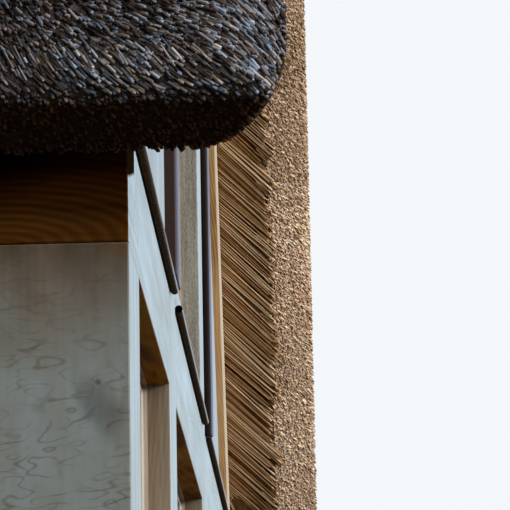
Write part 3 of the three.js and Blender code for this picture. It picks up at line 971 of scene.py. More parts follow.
# The door is of upright planks on ledges, hung on long iron straps. Planks like it close the
# wall beside and over it, with an oak lining round the opening.
PLANK = 0.165
PLANK_GAP = 0.003
PLANK_ARRIS = 0.006
STRIP_HALF = 0.022
CLADDING_IN = 0.014
LINING_OUT = 0.012
DOOR_COLOURS = ((0.0, (0.13, 0.085, 0.050)), (0.5, (0.25, 0.175, 0.110)), (1.0, (0.38, 0.29, 0.20)))
STRAP_HEIGHTS = (0.50, 1.20, 1.95)
STRAP = Vector((0.72, 0.006, 0.045))
STRAP_IN = 0.02
STRAP_UP = 0.03
BOLTS = 5
BOLT_STEP = 0.15
FIRST_BOLT = 0.07
BOLT_RADIUS = 0.009
KNUCKLE_IN = 0.006
KNUCKLE_RADIUS = 0.011
KNUCKLE_TALL = 0.062
RING_IN = 0.11
RING_OUT = 0.010
RING_RADIUS = 0.040
RING_DROP = 0.045
RING_THICK = 0.006
LEDGE = Vector((0.86, 0.030, 0.110))
HANDLE_HEIGHT = 1.15
LINING = 0.055
IRON_COLOURS = ((0.35, (0.020, 0.020, 0.022)), (0.75, (0.09, 0.075, 0.065)))


def iron_finish():
    made, tree = new_finish("iron_black", 0.5, more={"Metallic": 0.85})
    spots = speckle(object_place(tree), 70.0, 4.0)
    return finished(made, ramp(spots, IRON_COLOURS), spots, 0.001, 0.6)


plank_finish = board_finish("planks_weathered", DOOR_COLOURS, 0.75)
iron = iron_finish()
planks = list(board_rows(door_low, door_high, 0, PLANK, PLANK_GAP))
part_of_cottage(boards_piece("door_planks", planks, 2, 41, PLANK_ARRIS), "boards", plank_finish, "door")
middle = (door_low.x + door_high.x) / 2
ledges = []
hardware = bmesh.new()
for up in STRAP_HEIGHTS:
    ledges.append(((middle - LEDGE.x / 2, door_high.y, up),
                   (middle + LEDGE.x / 2, door_high.y + LEDGE.y, up + LEDGE.z)))
    low = (door_low.x + STRAP_IN, door_low.y - STRAP.y, up + STRAP_UP)
    high = (door_low.x + STRAP_IN + STRAP.x, door_low.y + 0.001, up + STRAP_UP + STRAP.z)
    add_box(hardware, low, high, 0.002, 1)
    centre = (low[2] + high[2]) / 2
    bmesh.ops.create_cone(hardware, cap_ends=True, segments=12, radius1=KNUCKLE_RADIUS,
                          radius2=KNUCKLE_RADIUS, depth=KNUCKLE_TALL,
                          matrix=Matrix.Translation((low[0] + KNUCKLE_IN, low[1], centre)))
    for step in range(BOLTS):
        bolt = Matrix.Translation((low[0] + FIRST_BOLT + step * BOLT_STEP, low[1] - 0.001, centre))
        bmesh.ops.create_uvsphere(hardware, u_segments=8, v_segments=5, radius=BOLT_RADIUS, matrix=bolt)
part_of_cottage(boards_piece("door_ledges", ledges, 0, 42, PLANK_ARRIS), "boards", plank_finish)
ring_place = Vector((door_high.x - RING_IN, door_low.y - RING_OUT, HANDLE_HEIGHT))
on_face = Matrix.Rotation(math.pi / 2, 4, "X")
bmesh.ops.create_cone(hardware, cap_ends=True, segments=20, radius1=0.034, radius2=0.030, depth=0.008,
                      matrix=Matrix.Translation(ring_place + Vector((0, 0.008, 0))) @ on_face)
hung = Matrix.Translation(ring_place + Vector((RING_RADIUS, 0, -RING_DROP))) @ on_face
circle = bmesh.ops.create_circle(hardware, segments=8, radius=RING_THICK, matrix=hung)
edges = [e for e in hardware.edges if all(v in circle["verts"] for v in e.verts)]
bmesh.ops.spin(hardware, geom=edges + circle["verts"], cent=ring_place + Vector((0, 0, -RING_DROP)),
               axis=(0, 1, 0), angle=2 * math.pi, steps=24, use_merge=True)
part_of_cottage(new_piece("door_ironwork", hardware), "boards", iron)

surround_low, surround_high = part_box("door_surround")
cladding = []
for x_low, x_high, z_low in ((surround_low.x, door_low.x, surround_low.z),
                             (door_low.x, door_high.x, door_high.z),
                             (door_high.x, surround_high.x, surround_low.z)):
    cladding += board_rows(Vector((x_low, surround_low.y + CLADDING_IN, z_low)),
                           Vector((x_high, surround_high.y, surround_high.z)), 0, PLANK, PLANK_GAP)
strips = [((low.x - STRIP_HALF, surround_low.y, low.z),
           (low.x + STRIP_HALF, surround_low.y + CLADDING_IN + 0.001, high.z))
          for low, high in cladding if low.x - surround_low.x > 0.05]
wall_boards = boards_piece("wall_boards", cladding + strips, 2, 43, 0.004)
part_of_cottage(wall_boards, "boards", plank_finish, "door_surround")
lining = bmesh.new()
for x_low, x_high, foot in ((door_low.x - LINING, door_low.x, plinth_high.z),
                            (door_high.x, door_high.x + LINING, plinth_high.z),
                            (door_low.x, door_high.x, door_high.z)):
    add_box(lining, (x_low, surround_low.y - LINING_OUT, foot),
            (x_high, surround_high.y, door_high.z + LINING))
lining_piece = new_piece("door_lining", lining)
grain_of(lining_piece, door_low, 2, 44)
part_of_cottage(lining_piece, "oak", frame_oak)

# The rafters stand on the plates and meet at the ridge. The gable pairs are heavy sawn oak, as
# is the middle pair, and these three each have a collar across; thinner common rafters stand between them.
COMMON = Vector((0.075, 0.0, 0.130))
COMMON_SPACING = 0.62
RAFTER_ARRIS = 0.003
RAFTER_PROUD = 0.008
ORANGE_OAK = ((0.0, (0.26, 0.105, 0.030)), (0.5, (0.60, 0.315, 0.125)), (1.0, (0.76, 0.48, 0.23)))
EDGE_OAK = ((0.0, (0.40, 0.29, 0.18)), (0.5, (0.53, 0.40, 0.26)), (1.0, (0.62, 0.50, 0.35)))


def rake_distance(height, depth):
    """Distance from the ridge where a line at a depth under the thatch reaches a height."""
    return WALL_LINE - (height + depth / math.cos(PITCH) - THATCH_UNDERSIDE) / math.tan(PITCH)


def slope_axes(way):
    """Down the slope and square out of it, for the north slope or the south one."""
    down = Vector((0, way * math.cos(PITCH), -math.sin(PITCH)))
    out = Vector((0, way * math.sin(PITCH), math.cos(PITCH)))
    return down, out


def slope_matrix(way):
    """Places on a slope: along the ridge, down from the wall line, and out of the underside."""
    down, out = slope_axes(way)
    made = Matrix((Vector((1, 0, 0)), down, out)).transposed().to_4x4()
    return Matrix.Translation((0, way * WALL_LINE, THATCH_UNDERSIDE)) @ made


def cut_off(bm, place, direction):
    """Cuts a mesh at a plane and closes it. What lies on the side of the direction goes."""
    everything = bm.verts[:] + bm.edges[:] + bm.faces[:]
    cut = bmesh.ops.bisect_plane(bm, geom=everything, plane_co=place, plane_no=direction, clear_outer=True)
    edges = [item for item in cut["geom_cut"] if isinstance(item, bmesh.types.BMEdge)]
    bmesh.ops.edgeloop_fill(bm, edges=edges)


def raking_timber(way, x_low, x_high, depth):
    """A rafter of one slope: cut level at its foot, on the plate, and plumb at the ridge."""
    foot = beam_top + RAFTER_GAP
    bm = bmesh.new()
    add_box(bm, (x_low, -6.0, -depth), (x_high, 1.0, -RAFTER_GAP), 0.0)
    bmesh.ops.transform(bm, matrix=slope_matrix(way), verts=bm.verts[:])
    cut_off(bm, (0, 0, foot), (0, 0, -1))
    cut_off(bm, (0, 0, 0), (0, -way, 0))
    if rake_distance(foot, RAFTER_GAP) > WALL_LINE:
        cut_off(bm, (0, way * WALL_LINE, 0), (0, way, 0))
    bmesh.ops.recalc_face_normals(bm, faces=bm.faces[:])
    soften(bm, bm.edges[:], RAFTER_ARRIS)
    return bm


def slope_lay(piece):
    """Places along the ridge, square to the slope and down it, for the points of both slopes."""
    north, south = slope_matrix(1).inverted(), slope_matrix(-1).inverted()
    return [((north if v.co.y > 0 else south) @ v.co).xzy for v in piece.data.vertices]


def joined(bms, name, seed, *nodes):
    """Several timbers as one piece, with grain down each slope, and level in what lies flat across."""
    whole = bmesh.new()
    for bm in bms:
        scrap = bpy.data.meshes.new("scrap")
        bm.to_mesh(scrap)
        bm.free()
        whole.from_mesh(scrap)
        bpy.data.meshes.remove(scrap)
    piece = new_piece(name, whole)
    chance = np.random.default_rng(seed)
    shift = Vector((*chance.uniform(-0.08, 0.08, 2), chance.uniform(-20, 20)))
    grain = slope_lay(piece)
    from_end = Vector((piece.data.vertices[0].co.x, 0.0, 0.0))
    write(piece.data, "grain", [lay - from_end + shift for lay in grain])
    part_of_cottage(piece, "shaded_oak", rafter_oak, *nodes)


rafter_oak = oak_finish("oak_rafter", *[ORANGE_OAK] * 4, EDGE_OAK, 0.30, 0.16)
collar_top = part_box("gable_boards_east_top")[0].z
for number, place in enumerate(("east", "middle", "west")):
    low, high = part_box(f"rafters_{place}")
    near = low.x - (RAFTER_PROUD if place == "west" else 0.0)
    far = high.x + (RAFTER_PROUD if place == "east" else 0.0)
    pair = [raking_timber(way, near, far, RAFTER_DEPTH) for way in (1, -1)]
    collar = bmesh.new()
    reach = rake_distance(collar_bottom, RAFTER_DEPTH)
    add_box(collar, (low.x, -reach, collar_bottom + RAFTER_GAP), (high.x, reach, collar_top - RAFTER_GAP),
            RAFTER_ARRIS, 1)
    joined(pair + [collar], f"truss_{place}", 51 + number, f"rafters_{place}")

commons = []
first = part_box("rafters_middle")[1].x
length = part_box("rafters_east")[0].x - first
spaces = round(length / COMMON_SPACING)
for index in range(1, spaces):
    x = first + index * length / spaces
    for mirror in (1, -1):
        for way in (1, -1):
            middle = mirror * x
            commons.append(raking_timber(way, middle - COMMON.x / 2, middle + COMMON.x / 2, COMMON.z))
joined(commons, "common_rafters", 55)

# The thatch is water reed, 360 mm thick, dressed to an even face with the butts down and
# outwards. Rain has turned the slopes dark grey, and their bluish streaks are a painted sheen of
# the sky. The cut of the eaves is nearly black, partly from damp and partly as painted shade.
# The sheltered verges keep the colour of straw.
COAT_BACK = 0.012
FRESH_REED = ((0.0, (0.028, 0.008, 0.001)), (0.25, (0.17, 0.070, 0.018)), (0.6, (0.62, 0.325, 0.13)),
              (1.0, (0.98, 0.74, 0.47)))
BUTT_REED = ((0.0, (0.24, 0.14, 0.072)), (0.5, (0.65, 0.415, 0.248)), (1.0, (0.96, 0.75, 0.53)))
# Weathered grey reed. Its bluish stops are a painted sheen of the sky on the stalks.
GREY_REED_AND_SKY_SHEEN = ((0.0, (0.015, 0.010, 0.009)), (0.25, (0.056, 0.040, 0.034)), (0.42, (0.135, 0.100, 0.084)),
             (0.54, (0.18, 0.165, 0.158)), (0.64, (0.105, 0.15, 0.215)), (0.76, (0.27, 0.21, 0.165)),
             (0.88, (0.22, 0.28, 0.36)), (1.0, (0.46, 0.38, 0.31)))
# Damp and painted shade: the cut and the underside of the eaves are darkened with this to near black.
DAMP_AND_SHADE_COLOUR = (0.26, 0.115, 0.030, 1.0)
BUTT_CELL = 150.0
BUTT_BAND = (0.62, 0.30)
# Painted shade between the butts: the dark rims of the cells.
BUTT_GAP_SHADE = (0.20, 0.115, 0.062, 1.0)
COAT_STREAKS = (95.0, 95.0, 13.0)
COAT_TUFTS = (26.0, 26.0, 9.0)
COAT_PATCHES = (1.3, 1.3, 0.9)
# Painted shade in the body between the stalks: how much darker it is, and the dark it is mixed towards.
COAT_SHADE_DARKENING = 0.28
REED_GAP_SHADE = (0.03, 0.015, 0.006, 1.0)
EAVES_BAND_FROM = 2.70
EAVES_BAND_FADE = 0.08


def aged_and_painted_light(tree, colour, tone):
    """Reed as the weather has changed it, with a painted sky sheen in its grey, then darkened partly by damp
    and partly as painted shade, by how much each has at each place.
    """
    colour = mixed(attribute(tree, "weather"), colour, ramp(tone, GREY_REED_AND_SKY_SHEEN))
    return mixed(attribute(tree, "damp_and_shade"), colour, DAMP_AND_SHADE_COLOUR, "MULTIPLY")


def reed_finish(name):
    """Single stalks, each with a tone of its own, and another colour at its butt."""
    made, tree = new_finish(name, 0.62, 0.07)
    tone = attribute(tree, "tone") + (speckle(object_place(tree), 55.0) - 0.5) * 0.25
    colour = mixed(attribute(tree, "butt"), ramp(tone, FRESH_REED), ramp(tone, BUTT_REED))
    return finished(made, aged_and_painted_light(tree, colour, tone))


def coat_finish(name):
    """The body of the thatch, which shows between the stalks: streaks down the slope, and butts. It is
    painted darker, as the shade between the stalks and between the butts.
    """
    made, tree = new_finish(name, 0.85, 0.1)
    lay = attribute(tree, "grain", "Vector")
    streaks = speckle(lay, COAT_STREAKS, 4.0, 0.7)
    tufts = speckle(lay, COAT_TUFTS, 3.0, 0.6)
    patches = speckle(lay, COAT_PATCHES, 4.0)
    amount = streaks * 0.65 + tufts * 0.5 + patches * 0.35 - COAT_SHADE_DARKENING
    fresh = mixed(0.65, ramp(amount, FRESH_REED), REED_GAP_SHADE)
    cells = node("TexVoronoi", {"Vector": object_place(tree), "Scale": BUTT_CELL}, "Distance")
    own = parts(cells.beside("Color"))[0]
    cut_ends = mixed(span(cells, *BUTT_BAND), BUTT_GAP_SHADE, ramp(own, BUTT_REED))
    fresh = mixed(attribute(tree, "butt"), fresh, cut_ends)
    return finished(made, aged_and_painted_light(tree, fresh, amount), streaks + tufts, 0.03)


def moved_by(matrix, points):
    matrix = np.array(matrix)
    return points @ matrix[:3, :3].T + matrix[:3, 3]


def lay_of(points, way):
    """Places along the ridge, square to the slope and down it, for points of one slope."""
    return moved_by(slope_matrix(way).inverted(), points)[:, [0, 2, 1]]


def facing(normals, way):
    """How squarely faces look out of a slope: 1 on the slope itself, and -1 under it."""
    return normals @ np.array(slope_axes(way)[1])


def near_foot(points, start=EAVES_BAND_FROM):
    return np.clip((np.abs(points[:, 1]) - start) / EAVES_BAND_FADE, 0.0, 1.0)


def on_verge(normals):
    return np.abs(normals[:, 0]) > 0.3


def eaves_band(normals, points, way):
    """1 at the eaves and 0 elsewhere. The north slope's verges are left out, down to the eaves."""
    return near_foot(points) * np.where(on_verge(normals) & (way > 0), 0.0, 1.0)


def weathering(normals, points, way):
    """1 on what rain and sun reach, and 0 on undersides and the sheltered verge."""
    return np.maximum(np.clip((facing(normals, way) + 0.15) / 0.75, 0.0, 1.0), eaves_band(normals, points, way))


def dampness_and_shade(normals, points, way):
    """1 on the cut and the underside of the eaves, and 0 elsewhere. It darkens them, partly as damp and
    partly as painted shade.
    """
    return eaves_band(normals, points, way) * np.clip((0.14 - facing(normals, way)) / 0.22, 0.0, 1.0)


# The verges are dressed at a slant, so they reach further out over their lower edge, and the
# corners at the eaves are rounded off.
DRESSED_BACK = 0.150
DRESSED_HIGH = 0.20
DRESSED_CURVE = 1.35
CORNER_BACK = 0.17
CORNER_HIGH = 0.20
CORNER_TILT = 0.317
CORNER_AT = 3.0
TRIMMED = 0.004
CUTS_UP = (0.012, 0.03, 0.055, 0.085, 0.12, 0.16, 0.21)
CUTS_OUT = (0.03, 0.06, 0.09, 0.12, 0.15, 0.18, 0.22, 0.26)
CUTS_IN = (0.001, 0.05, 0.09, 0.12, 0.15, 0.17)
CLOSE = 0.0005


def reach_of(points, way, half):
    """How far out along the ridge the thatch reaches, at the height of each point."""
    out = lay_of(points, way)[:, 1]
    verge = DRESSED_BACK * np.clip(1 - out / DRESSED_HIGH, 0.0, 1.0) ** DRESSED_CURVE
    height = points[:, 2] - eaves_low - CORNER_TILT * (CORNER_AT - np.abs(points[:, 1]))
    near = np.clip(1 - height / CORNER_HIGH, 0.0, 1.0)
    trim = TRIMMED if way < 0 else 0.0
    return half - trim - np.maximum(verge, CORNER_BACK * (1 - np.sqrt(1 - near * near)))


def thatch_shape(node_name, way, inwards=0.0):
    """A thatched slope with its verges dressed and its corners rounded off."""
    bm = merged_copy(node_name, inwards)
    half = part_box(node_name)[1].x - inwards
    _, out = slope_axes(way)
    cuts = [((0, 0, eaves_low + step), (0, 0, 1)) for step in CUTS_UP]
    foot = Vector((0, way * WALL_LINE, THATCH_UNDERSIDE))
    cuts += [(foot + out * step, out) for step in CUTS_OUT]
    for reach in CUTS_IN:
        cuts += [((half - reach, 0, 0), (1, 0, 0)), ((reach - half, 0, 0), (1, 0, 0))]
    for place, direction in cuts:
        everything = bm.verts[:] + bm.edges[:] + bm.faces[:]
        bmesh.ops.bisect_plane(bm, geom=everything, plane_co=place, plane_no=direction, dist=0.0002)
    limits = reach_of(np.array([v.co for v in bm.verts]), way, half)
    for v, limit in zip(bm.verts, limits):
        v.co.x = max(-limit, min(limit, v.co.x))
    bmesh.ops.remove_doubles(bm, verts=bm.verts[:], dist=CLOSE)
    bmesh.ops.dissolve_degenerate(bm, edges=bm.edges[:], dist=CLOSE)
    bm.normal_update()
    return bm


def reed_coat(name, node_name, way):
    """The body of one slope, a little inside the faces that the stalks lie on."""
    piece = new_piece(name, thatch_shape(node_name, way, COAT_BACK))
    mesh = piece.data
    write(mesh, "grain", lay_of(places_of(mesh), way))
    normals = np.array([face.normal for face in mesh.polygons])
    centres = np.array([face.center for face in mesh.polygons])
    write(mesh, "weather", weathering(normals, centres, way), "FACE")
    write(mesh, "damp_and_shade", dampness_and_shade(normals, centres, way), "FACE")
    write(mesh, "butt", on_verge(normals), "FACE")
    part_of_cottage(piece, "reed", coat, node_name)


def reed_stalk(sides):
    """One stalk from its butt at the origin back to its root at -1, open at the root."""
    bm = bmesh.new()
    bmesh.ops.create_cone(bm, cap_ends=True, segments=sides, radius1=0.8, radius2=1.0, depth=1.0)
    bmesh.ops.translate(bm, vec=(0, 0, -0.5), verts=bm.verts[:])
    root = [face for face in bm.faces if face.calc_center_median().z < -0.99]
    bmesh.ops.delete(bm, geom=root, context="FACES_ONLY")
    butts = np.array([float(face.calc_center_median().z > -0.01) for face in bm.faces])
    return template(bm), butts


def scattered(bm, density, keep, chance):
    """Points on the faces of a shape, so many a square metre, with the faces' normals."""
    bmesh.ops.triangulate(bm, faces=bm.faces[:])
    corners = np.array([[v.co for v in face.verts] for face in bm.faces])
    bm.free()
    cross = np.cross(corners[:, 1] - corners[:, 0], corners[:, 2] - corners[:, 0])
    areas = np.linalg.norm(cross, axis=1) / 2
    normals = cross / np.maximum(2 * areas[:, None], 1e-12)
    count = int(areas.sum() * density)
    picked = chance.choice(len(areas), count, p=areas / areas.sum())
    first, second = chance.uniform(size=(2, count))
    over = first + second > 1
    first[over], second[over] = 1 - first[over], 1 - second[over]
    a, b, c = (corners[picked, index] for index in range(3))
    points = a + (b - a) * first[:, None] + (c - a) * second[:, None]
    kept = keep(points, normals[picked])
    return points[kept], normals[picked][kept]


def unit(vectors):
    return vectors / np.linalg.norm(vectors, axis=1)[:, None]


def stalk_turns(directions, radii, lengths, chance):
    """Each stalk's own axes: two across with its radius, and its length along."""
    along = unit(directions)
    helper = np.where(np.abs(along[:, 2:3]) < 0.9, [[0.0, 0.0, 1.0]], [[1.0, 0.0, 0.0]])
    side = unit(np.cross(helper, along))
    other = np.cross(along, side)
    roll = chance.uniform(0, 2 * math.pi, len(along))[:, None]
    first = side * np.cos(roll) + other * np.sin(roll)
    second = other * np.cos(roll) - side * np.sin(roll)
    return np.stack([first * radii[:, None], second * radii[:, None], along * lengths[:, None]], axis=2)


VERGE_SPREAD = 0.87
SPREAD_FROM = 0.85
eaves_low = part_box("thatch_south")[0].z


def reed_lay(points, normals, way, half, lift):
    """Direction of the stalks: down the slope, and more outwards the nearer the verge."""
    down, _ = slope_axes(way)
    inside = half - np.abs(points[:, 0])
    spread = np.clip(1 - inside / SPREAD_FROM, 0, 1)
    spread = VERGE_SPREAD * spread * spread * (3 - 2 * spread)
    lay = np.tile(np.array(down), (len(points), 1))
    lay[:, 0] += spread * np.sign(points[:, 0])
    lay = unit(lay)
    rising = np.sum(lay * normals, axis=1)
    raised = np.where(facing(normals, way) > 0.15, lift - rising, np.maximum(lift, lift - rising))
    return unit(lay + normals * raised[:, None])


def held_inside(points, lay, lengths, margin):
    """Stalks moved and shortened, so that neither end passes the cottage's own size."""
    low, high = np.array(cad_low) + margin, np.array(cad_high) - margin
    points = np.clip(points, low, high)
    room = np.where(lay > 0, points - low, high - points) / np.maximum(np.abs(lay), 1e-6)
    return points, np.minimum(lengths, np.maximum(room.min(axis=1), 0.003))


def reed_layer(name, node_name, way, keep, stalks, seed, lift=0.16, pale=0.0, spread=2.0):
    """Stalks on the faces of one slope, where keep says so. Their sides are as pale as asked.

    The stalks are so many a square metre, with a radius, a length and how unevenly they lie."""
    density, radius, length, rough = stalks
    chance = np.random.default_rng(seed)
    shape, butts = reed_stalk(3)
    butts = np.maximum(butts, pale)
    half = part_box(node_name)[1].x
    shape_of = merged_copy(node_name) if node_name == "thatch_ridge" else thatch_shape(node_name, way)
    points, normals = scattered(shape_of, density, keep, chance)
    count = len(points)
    lay = reed_lay(points, normals, way, half, lift)
    lay = unit(lay + chance.normal(0, 0.09, (count, 3)))
    back = chance.uniform(0.0, 1.0, count) * rough
    if pale:
        back *= np.interp(points[:, 2], SMOOTH_HEIGHTS, SMOOTHNESS)
    points = points - normals * (back + radius * 0.6)[:, None]
    radii = radius * chance.uniform(0.75, 1.2, count)
    lengths = length * chance.uniform(0.7, 1.3, count)
    points[:, 0] = np.clip(points[:, 0], radius - half, half - radius)
    points, lengths = held_inside(points, lay, lengths, radius * 1.2)
    tones = chance.beta(spread, spread * 1.1, count) + clumps(points, chance)
    # Painted light: stalks in a band just above the eaves' cut get lighter tones, where the rounded edge
    # turns away from the light.
    if not pale:
        tones = tones + np.interp(points[:, 2], PAINTED_LIGHT_HEIGHTS, PAINTED_LIGHT_TONES)
    high_up = np.clip((points[:, 2] - HIGH_FROM) / HIGH_FADE, 0, 1)
    tones = np.clip(tones - HIGH_DARK * high_up * pale, 0, 1)
    values = {"tone": tones, "weather": weathering(normals, points, way),
              "damp_and_shade": dampness_and_shade(normals, points, way)}
    turns = stalk_turns(lay, radii, lengths, chance)
    piece = join_copies(name, shape, turns, points, values, {"butt": butts})
    return part_of_cottage(piece, "reed", reed)


def clumps(points, chance):
    """A slow change of tone over the surface, from a few waves in chosen directions."""
    total = np.zeros(len(points))
    for _ in range(6):
        direction = chance.normal(0, 14.0, 3)
        total += np.sin(points @ direction + chance.uniform(0, 6.3))
    return 0.05 * total


coat = coat_finish("reed_body")
reed = reed_finish("reed_stalks")
reed_coat("thatch_south_body", "thatch_south", -1)
reed_coat("thatch_north_body", "thatch_north", 1)

# Painted light on the eaves: heights of the band, and how much lighter its stalks are made.
PAINTED_LIGHT_HEIGHTS = (3.005, 3.025, 3.06, 3.11)
PAINTED_LIGHT_TONES = (0.0, 0.24, 0.19, 0.0)
SMOOTH_HEIGHTS = (3.1, 3.9)
SMOOTHNESS = (1.0, 0.25)
HIGH_FROM = 4.2
HIGH_FADE = 0.7
HIGH_DARK = 0.15
HERO_VERGE_HIGH = 5.85
HERO_EAVES = 2.92
HERO_EAVES_HIGH = 3.32
BUTTS_FROM = 0.175
VERGE_STALKS = (16500, 0.0031, 0.055, 0.028)
EAVES_STALKS = (34000, 0.0035, 0.038, 0.022)
EDGE_STALKS = (1900, 0.0075, 0.09, 0.018)
SLOPE_STALKS = (430, 0.0085, 0.15, 0.012)


def outer_slope(normals, way):
    return facing(normals, way) > 0.93


def is_covered(points, normals, way):
    """The underside over the rooms, and under the verges where the first stalks lie."""
    return (facing(normals, way) < -0.6) & (np.abs(points[:, 0]) < plinth_high.x + BUTTS_FROM)


def far_verge(points, normals):
    """The stretch of the north verge by the east gable that shows its butts closely."""
    near = (points[:, 0] > plinth_high.x + BUTTS_FROM) & (points[:, 2] < HERO_VERGE_HIGH)
    return near & ~outer_slope(normals, 1)


def near_eaves(points, normals):
    """The south-east corner of the eaves."""
    near = (points[:, 0] > HERO_EAVES) & (points[:, 2] < HERO_EAVES_HIGH)
    return near & ~(is_covered(points, normals, -1) & (np.abs(points[:, 1]) < WALL_LINE))


def edges_of(way, close_up):
    def keep(points, normals):
        covered = is_covered(points, normals, way) & (np.abs(points[:, 1]) <= WALL_LINE)
        return ~outer_slope(normals, way) & ~covered & ~close_up(points, normals)
    return keep


def slope_of(way, close_up):
    def keep(points, normals):
        return outer_slope(normals, way) & ~close_up(points, normals)
    return keep


reed_layer("reed_far_verge", "thatch_north", 1, far_verge, VERGE_STALKS, 61, pale=0.6)
reed_layer("reed_near_eaves", "thatch_south", -1, near_eaves, EAVES_STALKS, 62, 0.33, spread=1.3)
slopes = (("south", -1, near_eaves), ("north", 1, far_verge))
for number, (side, way, close_up) in enumerate(slopes):
    keep = edges_of(way, close_up)
    reed_layer(f"reed_edges_{side}", f"thatch_{side}", way, keep, EDGE_STALKS, 63 + number)
for number, (side, way, close_up) in enumerate(slopes):
    keep = slope_of(way, close_up)
    reed_layer(f"reed_slope_{side}", f"thatch_{side}", way, keep, SLOPE_STALKS, 65 + number)

# Under each verge the stalks of the first bundles show their sides. They run aslant, outwards
# and down, from over the gable rafter to where their butts begin.
SOFFIT_ANGLE = math.radians(45.5)
SOFFIT_BUTT = 0.185
SOFFIT_ROOT = -0.04
SOFFIT_FROM = -4.75
# Tones of the stalks in front and behind. Those behind are darker, as painted shade between the stalks.
FRONT_TONE = (0.70, 0.20)
BEHIND_SHADED_TONE = (0.22, 0.12)
BUNDLE = 0.060
EAVES_TURN = 0.036
EAVES_RISE = 0.512
EAVES_END = 0.34
ANGLE_SPREAD = (math.radians(1.2), math.radians(0.8))
FINE_SPACING = 0.0025
FINE_RADIUS = 0.0022
PLAIN_SPACING = 0.0036


def verge_soffit(name, way, side, spacing, radius, seed):
    """A row of stalks under one verge, so far apart and so thick."""
    chance = np.random.default_rng(seed)
    shape, butts = reed_stalk(4)
    low, high = SOFFIT_FROM, EAVES_END - 0.05
    count = int((high - low) / spacing)
    crossing = np.linspace(low, high, count) + chance.uniform(-0.0006, 0.0006, count)
    bundles = int((high - low) / BUNDLE)
    which = np.clip(((crossing - low) / BUNDLE).astype(int), 0, bundles - 1)
    middle = low + (which + 0.5) * BUNDLE
    squeeze = chance.uniform(0.0, 0.10, bundles)[which]
    leaning = chance.normal(0, 1, bundles)[which]
    angle = SOFFIT_ANGLE + ANGLE_SPREAD[0] * leaning + ANGLE_SPREAD[1] * chance.normal(0, 1, count)
    reach = SOFFIT_BUTT + chance.uniform(-0.022, 0.012, bundles)[which]
    reach = reach + chance.uniform(-0.012, 0.012, count)
    behind = np.arange(count) % 4 > 0
    lift = np.where(behind, chance.uniform(0.35, 1.0, count), chance.uniform(0.0, 0.08, count))
    radii = radius * chance.uniform(0.85, 1.15, count)
    ends = crossing + reach * np.tan(angle) + (middle - crossing) * squeeze
    shorter = np.clip((EAVES_END - crossing) / (ends - crossing), 0.0, 1.0)
    reach = reach * shorter
    ends = crossing + (ends - crossing) * shorter
    starts = crossing + SOFFIT_ROOT * np.tan(angle)
    end_out = radii + 0.012 * lift + np.maximum(ends - EAVES_TURN, 0.0) * EAVES_RISE
    start_out = radii + 0.010 * lift + 0.001 + np.maximum(starts - EAVES_TURN, 0.0) * EAVES_RISE
    ends = np.stack([side * (plinth_high.x + reach), ends, end_out], axis=1)
    roots = np.stack([np.full(count, side * (plinth_high.x + SOFFIT_ROOT)), starts, start_out], axis=1)
    ends, roots = (moved_by(slope_matrix(way), points) for points in (ends, roots))
    lengths = np.linalg.norm(ends - roots, axis=1)
    fade = 0.06 * np.interp(crossing, np.linspace(low, high, 120), chance.normal(0, 1, 120))
    # Painted shade: the stalks lying deeper, behind the front ones, get much darker tones.
    tones = np.where(behind, chance.normal(*BEHIND_SHADED_TONE, count), chance.normal(*FRONT_TONE, count))
    # The stalks near the eaves are darkened, partly as damp and partly as painted shade.
    values = {"tone": np.clip(tones + fade, 0, 1), "weather": np.zeros(count),
              "damp_and_shade": near_foot(ends, EAVES_BAND_FROM + 0.1)}
    turns = stalk_turns(ends - roots, radii, lengths, chance)
    part_of_cottage(join_copies(name, shape, turns, ends, values, {"butt": butts}), "reed", reed)


for gable, side in (("east", 1), ("west", -1)):
    for slope, way in (("north", 1), ("south", -1)):
        sizes = (PLAIN_SPACING, PLAIN_SPACING)
        if slope == "north" and gable == "east":
            sizes = (FINE_SPACING, FINE_RADIUS)
        verge_soffit(f"reed_verge_soffit_{slope}_{gable}", way, side, *sizes, 70 + way + 2 * side)

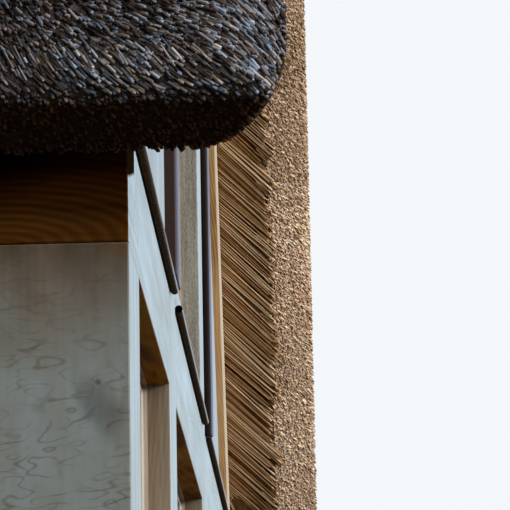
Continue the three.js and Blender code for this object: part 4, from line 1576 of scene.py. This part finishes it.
# The ridge is capped with a saddle of reed, held down by split hazel rods: three level rods
# on each side, with short rods crossed between them.
ROD_RADIUS = 0.011
ROD_ROWS = (0.16, 0.34, 0.52)
ROD_IN = 0.02
CROSS_IN = 0.05
CROSS_STEP = 0.30
RIDGE_OUT = 0.4305
CROSS_RADIUS = 0.008
RIDGE_STALKS = (1700, 0.0070, 0.13, 0.012)
HAZEL_COLOURS = ((0.0, (0.10, 0.065, 0.035)), (1.0, (0.30, 0.22, 0.13)))


ridge_low, ridge_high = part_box("thatch_ridge")
ridge_body = new_piece("thatch_ridge_body", merged_copy("thatch_ridge", COAT_BACK))
write(ridge_body.data, "grain", slope_lay(ridge_body))
for key, amount in (("damp_and_shade", 0.0), ("butt", 0.0), ("weather", 1.0)):
    write(ridge_body.data, key, np.full(len(ridge_body.data.polygons), amount), "FACE")
part_of_cottage(ridge_body, "ridge_reed", coat, "thatch_ridge")


def one_side(way):
    def keep(points, normals):
        return (points[:, 1] * way >= 0.03) & (normals[:, 2] > -0.2)
    return keep


for slope, way in (("north", 1), ("south", -1)):
    cover = reed_layer(f"ridge_reed_{slope}", "thatch_ridge", way, one_side(way), RIDGE_STALKS, 80 + way)

rods = bmesh.new()
for way in (1, -1):
    out = slope_matrix(way)
    top = -(WALL_LINE + RIDGE_OUT * math.sin(PITCH)) / math.cos(PITCH)
    lift = RIDGE_OUT - ROD_RADIUS * 0.5
    lines = [(ridge_low.x + ROD_IN, row, ridge_high.x - ROD_IN, row, ROD_RADIUS) for row in ROD_ROWS]
    for index in range(int((ridge_high.x - ridge_low.x - 2 * CROSS_IN) / CROSS_STEP)):
        x = ridge_low.x + CROSS_IN + index * CROSS_STEP
        for upper, lower in zip(ROD_ROWS, ROD_ROWS[1:]):
            lines += [(x, upper, x + CROSS_STEP, lower, CROSS_RADIUS),
                      (x + CROSS_STEP, upper, x, lower, CROSS_RADIUS)]
    for x0, down0, x1, down1, radius in lines:
        round_bar(rods, out @ Vector((x0, top + down0, lift)), out @ Vector((x1, top + down1, lift)), radius,
                  segments=7, far=0.9)
hazel = board_finish("hazel_rods", HAZEL_COLOURS, 0.7)
rod_piece = new_piece("ridge_rods", rods)
grain_of(rod_piece, (0, 0, 0), 0, 90)
part_of_cottage(rod_piece, "ridge_reed", hazel)

low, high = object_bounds()
